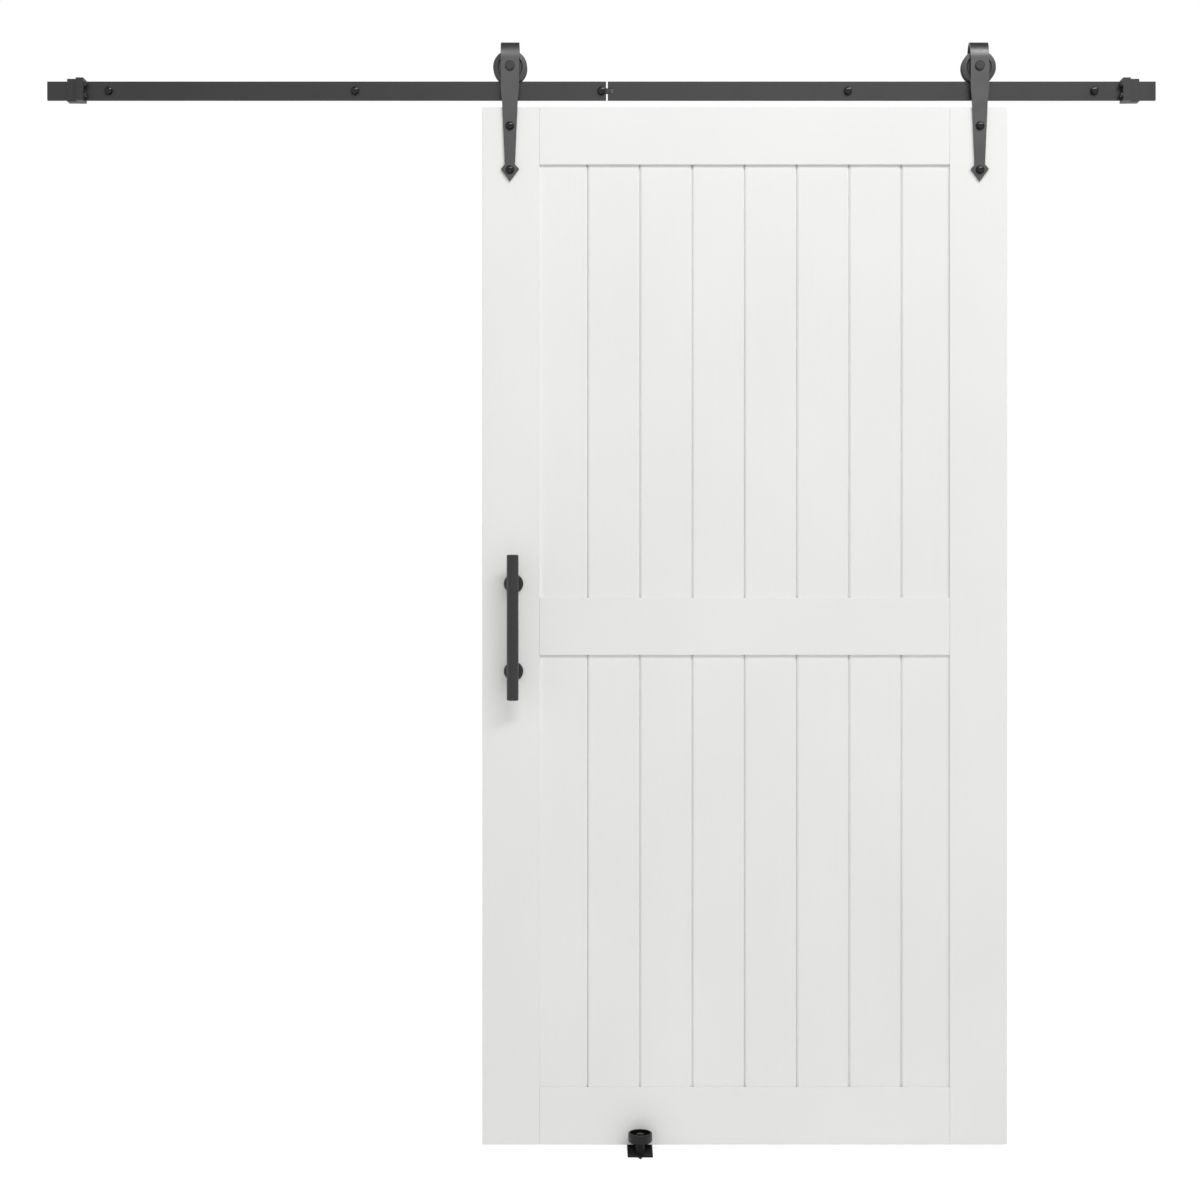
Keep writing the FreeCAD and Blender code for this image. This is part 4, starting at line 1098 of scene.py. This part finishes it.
@dataclass
class FloorGuide:
    """Bent plate on the floor with a roller in front of the door and a glide behind it."""

    plate: float = 4 * MM
    bend: float = 5 * MM
    nib: tuple[float, float] = (11 * MM, 12.5 * MM)
    recess: float = 20.8 * MM
    recess_depth: float = 8 * MM

    def build(self) -> None:
        """Make the plate, the post, the roller and its bolt."""
        axis = joint_point("guide_roller_spin")
        self.base_plate()
        self.roller(axis)
        self.axle(axis)
        dress("guide_glide", NYLON, 0.4 * MM)

    def base_plate(self) -> None:
        """Sweep the plate from its front edge round the bend to the top of the lip."""
        low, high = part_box("guide_base_plate")
        centre = (low.x + high.x) / 2
        width = high.x - low.x
        front = low.y + self.nib[1]
        half = self.plate / 2
        turn_y = high.y - self.bend
        turn_z = low.z + self.bend
        radius = self.bend - half

        def section(depth: float, up: float, lean: float, span: float) -> Matrix:
            """Cross-section of the plate; lean turns it from flat to upright."""
            turn = Matrix.Rotation(lean, 4, "X") @ Matrix.Rotation(math.radians(90), 4, "X")
            scale = Matrix.Diagonal((span, self.plate, 1.0, 1.0))
            return Matrix.Translation((centre, depth, up)) @ turn @ scale

        rows = [section(front, low.z + half, 0.0, width)]
        for step in range(9):
            lean = math.radians(90 * step / 8)
            rows.append(section(
                turn_y + radius * math.sin(lean), turn_z - radius * math.cos(lean), lean, width))
        rows.append(section(high.y - half, high.z, math.radians(90), width))
        work = Workpiece("guide_plate")
        work.sweep(rows)
        work.sweep([
            section(front + 1 * MM, low.z + half, 0.0, self.nib[0]),
            section(low.y, low.z + half, 0.0, 0.6 * MM),
        ])
        work.soften(0.5 * MM, 2, 30)
        work.finish(SHADED_GUIDE_POWDER, Body.TRACK, "guide_base_plate")

    def roller(self, axis: Vector) -> None:
        """Roller with a recess around the bolt head.

        Args:
            axis: point on the roller's axis.
        """
        low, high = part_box("guide_roller")
        radius = (high.x - low.x) / 2
        floor = high.z - self.recess_depth
        work = Workpiece("guide_nylon_roller")
        work.lathe([
            (6.05 * MM, low.z), (radius - 2 * MM, low.z), (radius, low.z + 2 * MM),
            (radius, high.z - 0.8 * MM), (radius - 0.8 * MM, high.z), (self.recess, high.z),
            (self.recess, floor), (6.05 * MM, floor), (6.05 * MM, low.z),
        ], Vector((axis.x, axis.y, 0)), Axis.Z, 96)
        work.soften(0.5 * MM, 3, 25)
        work.finish(SHADED_ROLLER_NYLON, Body.ROLLER, "guide_roller")

    def axle(self, axis: Vector) -> None:
        """Tapered post, flanged bush, washer and hex bolt.

        Args:
            axis: point on the roller's axis.
        """
        centre = Vector((axis.x, axis.y, 0))
        low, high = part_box("guide_post")
        post = Workpiece("guide_tapered_post")
        post.lathe([
            (4.1 * MM, low.z), (8 * MM, low.z), (9.5 * MM, high.z), (4.1 * MM, high.z), (4.1 * MM, low.z),
        ], centre, Axis.Z)
        post.soften(0.4 * MM)
        post.finish(SHADED_GUIDE_POWDER, Body.TRACK, "guide_post")

        washer_low, washer_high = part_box("guide_washer")
        washer = Workpiece("guide_steel_washer")
        washer.tube(4.1 * MM, (washer_high.x - washer_low.x) / 2, washer_high.z - washer_low.z,
                    Vector((axis.x, axis.y, washer_low.z)), Axis.Z)
        washer.soften(0.35 * MM)
        washer.finish(FASTENER, Body.TRACK, "guide_washer")

        low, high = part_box("guide_bolt")
        bolt = Workpiece("guide_hex_bolt")
        bolt.lathe([(0, low.z), (4 * MM, low.z), (4 * MM, washer_high.z), (0, washer_high.z)], centre, Axis.Z, 32)
        bolt.head(8 * MM, high.z - washer_high.z, Vector((axis.x, axis.y, washer_high.z)), Axis.Z)
        bolt.finish(FASTENER, Body.TRACK, "guide_bolt")
        dress("guide_bush", ZINC)


# ---------------------------------------------------------------- studio


@dataclass
class Studio:
    """White floor, white surroundings, one soft lamp from above, and the camera."""

    camera_distance: float = 3.5
    camera_height: float = -1.0498
    camera_side: float = -0.003
    frame_width: float = 2.467
    surroundings: float = 0.64
    ceiling: float = 0.3
    floor_half: float = 12.0

    def build(self) -> None:
        """Set up the world, the floor, the lamp and the camera."""
        bpy.context.scene.view_settings.view_transform = "Standard"
        self.world()
        self.floor()
        self.lamp("key_softbox", (1.8, -4.2, 3.4), (0.2, 0, -0.5), (5.0, 1.2), 200)
        self.camera()

    def bright_to_camera(self, tree: bpy.types.NodeTree) -> bpy.types.NodeSocket:
        """One for camera, mirror and glass rays, nought for the light that falls on the object."""
        path = add_node(tree, "ShaderNodeLightPath")
        first = add_node(
            tree, "ShaderNodeMath", {"operation": "MAXIMUM"},
            {0: path.outputs["Is Camera Ray"], 1: path.outputs["Is Glossy Ray"]})
        both = add_node(
            tree, "ShaderNodeMath", {"operation": "MAXIMUM"},
            {0: first.outputs[0], 1: path.outputs["Is Transmission Ray"]})
        return both.outputs[0]

    def world(self) -> None:
        """White behind the object, a moderate light on it, and a dim ceiling that only it sees."""
        world = bpy.data.worlds.new("studio")
        bpy.context.scene.world = world
        world.use_nodes = True
        tree = world.node_tree
        tree.nodes.clear()
        walls = add_node(
            tree, "ShaderNodeMapRange", {"To Min": self.surroundings, "To Max": 1.0},
            {"Value": self.bright_to_camera(tree)})
        direction = add_node(
            tree, "ShaderNodeSeparateXYZ", {},
            {"Vector": add_node(tree, "ShaderNodeTexCoord").outputs["Generated"]})
        above = add_node(
            tree, "ShaderNodeMapRange",
            {"From Min": 0.5, "From Max": 0.85, "To Min": 1.0, "To Max": self.ceiling},
            {"Value": direction.outputs["Z"]})
        shown = add_node(
            tree, "ShaderNodeMath", {"operation": "MAXIMUM"},
            {0: add_node(tree, "ShaderNodeLightPath").outputs["Is Camera Ray"], 1: above.outputs[0]})
        strength = add_node(
            tree, "ShaderNodeMath", {"operation": "MULTIPLY"}, {0: walls.outputs[0], 1: shown.outputs[0]})
        light = add_node(
            tree, "ShaderNodeBackground", {"Color": (1, 1, 1, 1)}, {"Strength": strength.outputs[0]})
        add_node(tree, "ShaderNodeOutputWorld", links={"Surface": light.outputs[0]})

    def floor(self) -> None:
        """Pale floor that shows white where it is lit and keeps the object's shadow."""
        work = Workpiece("studio_floor")
        bmesh.ops.create_grid(work.mesh, x_segments=1, y_segments=1, size=self.floor_half)
        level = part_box("guide_base_plate")[0].z - 0.2 * MM
        bmesh.ops.translate(work.mesh, verts=work.mesh.verts[:], vec=(0, 0, level))
        data = bpy.data.meshes.new(work.name)
        work.mesh.to_mesh(data)
        work.mesh.free()
        made = bpy.data.materials.new("white_studio_floor")
        made.use_nodes = True
        tree = made.node_tree
        tree.nodes.clear()
        paint = add_node(tree, "ShaderNodeBsdfDiffuse", {"Color": linear("#f4f4f4")})
        glow = add_node(
            tree, "ShaderNodeEmission", {"Color": (1, 1, 1, 1)},
            {"Strength": add_node(
                tree, "ShaderNodeMath", {"operation": "MULTIPLY", 1: 0.72},
                {0: self.bright_to_camera(tree)}).outputs[0]})
        both = add_node(tree, "ShaderNodeAddShader", links={0: paint.outputs[0], 1: glow.outputs[0]})
        add_node(tree, "ShaderNodeOutputMaterial", links={"Surface": both.outputs[0]})
        data.materials.append(made)
        floor = bpy.data.objects.new(work.name, data)
        bpy.context.scene.collection.objects.link(floor)

    def lamp(
        self,
        name: str,
        place: tuple[float, float, float],
        aim: tuple[float, float, float],
        size: tuple[float, float],
        power: float,
    ) -> None:
        """Soft lamp with a rectangular face.

        Args:
            name: the lamp's name.
            place: where it hangs.
            aim: point that it faces.
            size: its width and height.
            power: its power in watts.
        """
        data = bpy.data.lights.new(name, "AREA")
        data.shape = "RECTANGLE"
        data.size, data.size_y = size
        data.energy = power
        lamp = bpy.data.objects.new(name, data)
        lamp.location = place
        lamp.rotation_euler = (Vector(aim) - Vector(place)).to_track_quat("-Z", "Y").to_euler()
        bpy.context.scene.collection.objects.link(lamp)

    def camera(self) -> None:
        """Level camera square to the door's front face."""
        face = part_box("left_stile")[0].y
        data = bpy.data.cameras.new("camera")
        data.sensor_width = 36.0
        data.lens = data.sensor_width * self.camera_distance / self.frame_width
        camera = bpy.data.objects.new("camera", data)
        camera.location = (self.camera_side, face - self.camera_distance, self.camera_height)
        camera.rotation_euler = (math.radians(90), 0, 0)
        bpy.context.scene.collection.objects.link(camera)
        bpy.context.scene.camera = camera


def main() -> None:
    """Build every sub-assembly in order."""
    logging.basicConfig(level=logging.INFO, format="%(message)s")
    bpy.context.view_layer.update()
    Studio().build()
    DoorSlab().build()
    WallRail().build()
    for side in ("left", "right"):
        EndStop(side).build()
    Hanger("left", Body.LEFT_WHEEL).build()
    Hanger("right", Body.RIGHT_WHEEL).build()
    HangerFixings().build()
    PullHandle().build()
    FloorGuide().build()


if __name__ == "__main__":
    main()
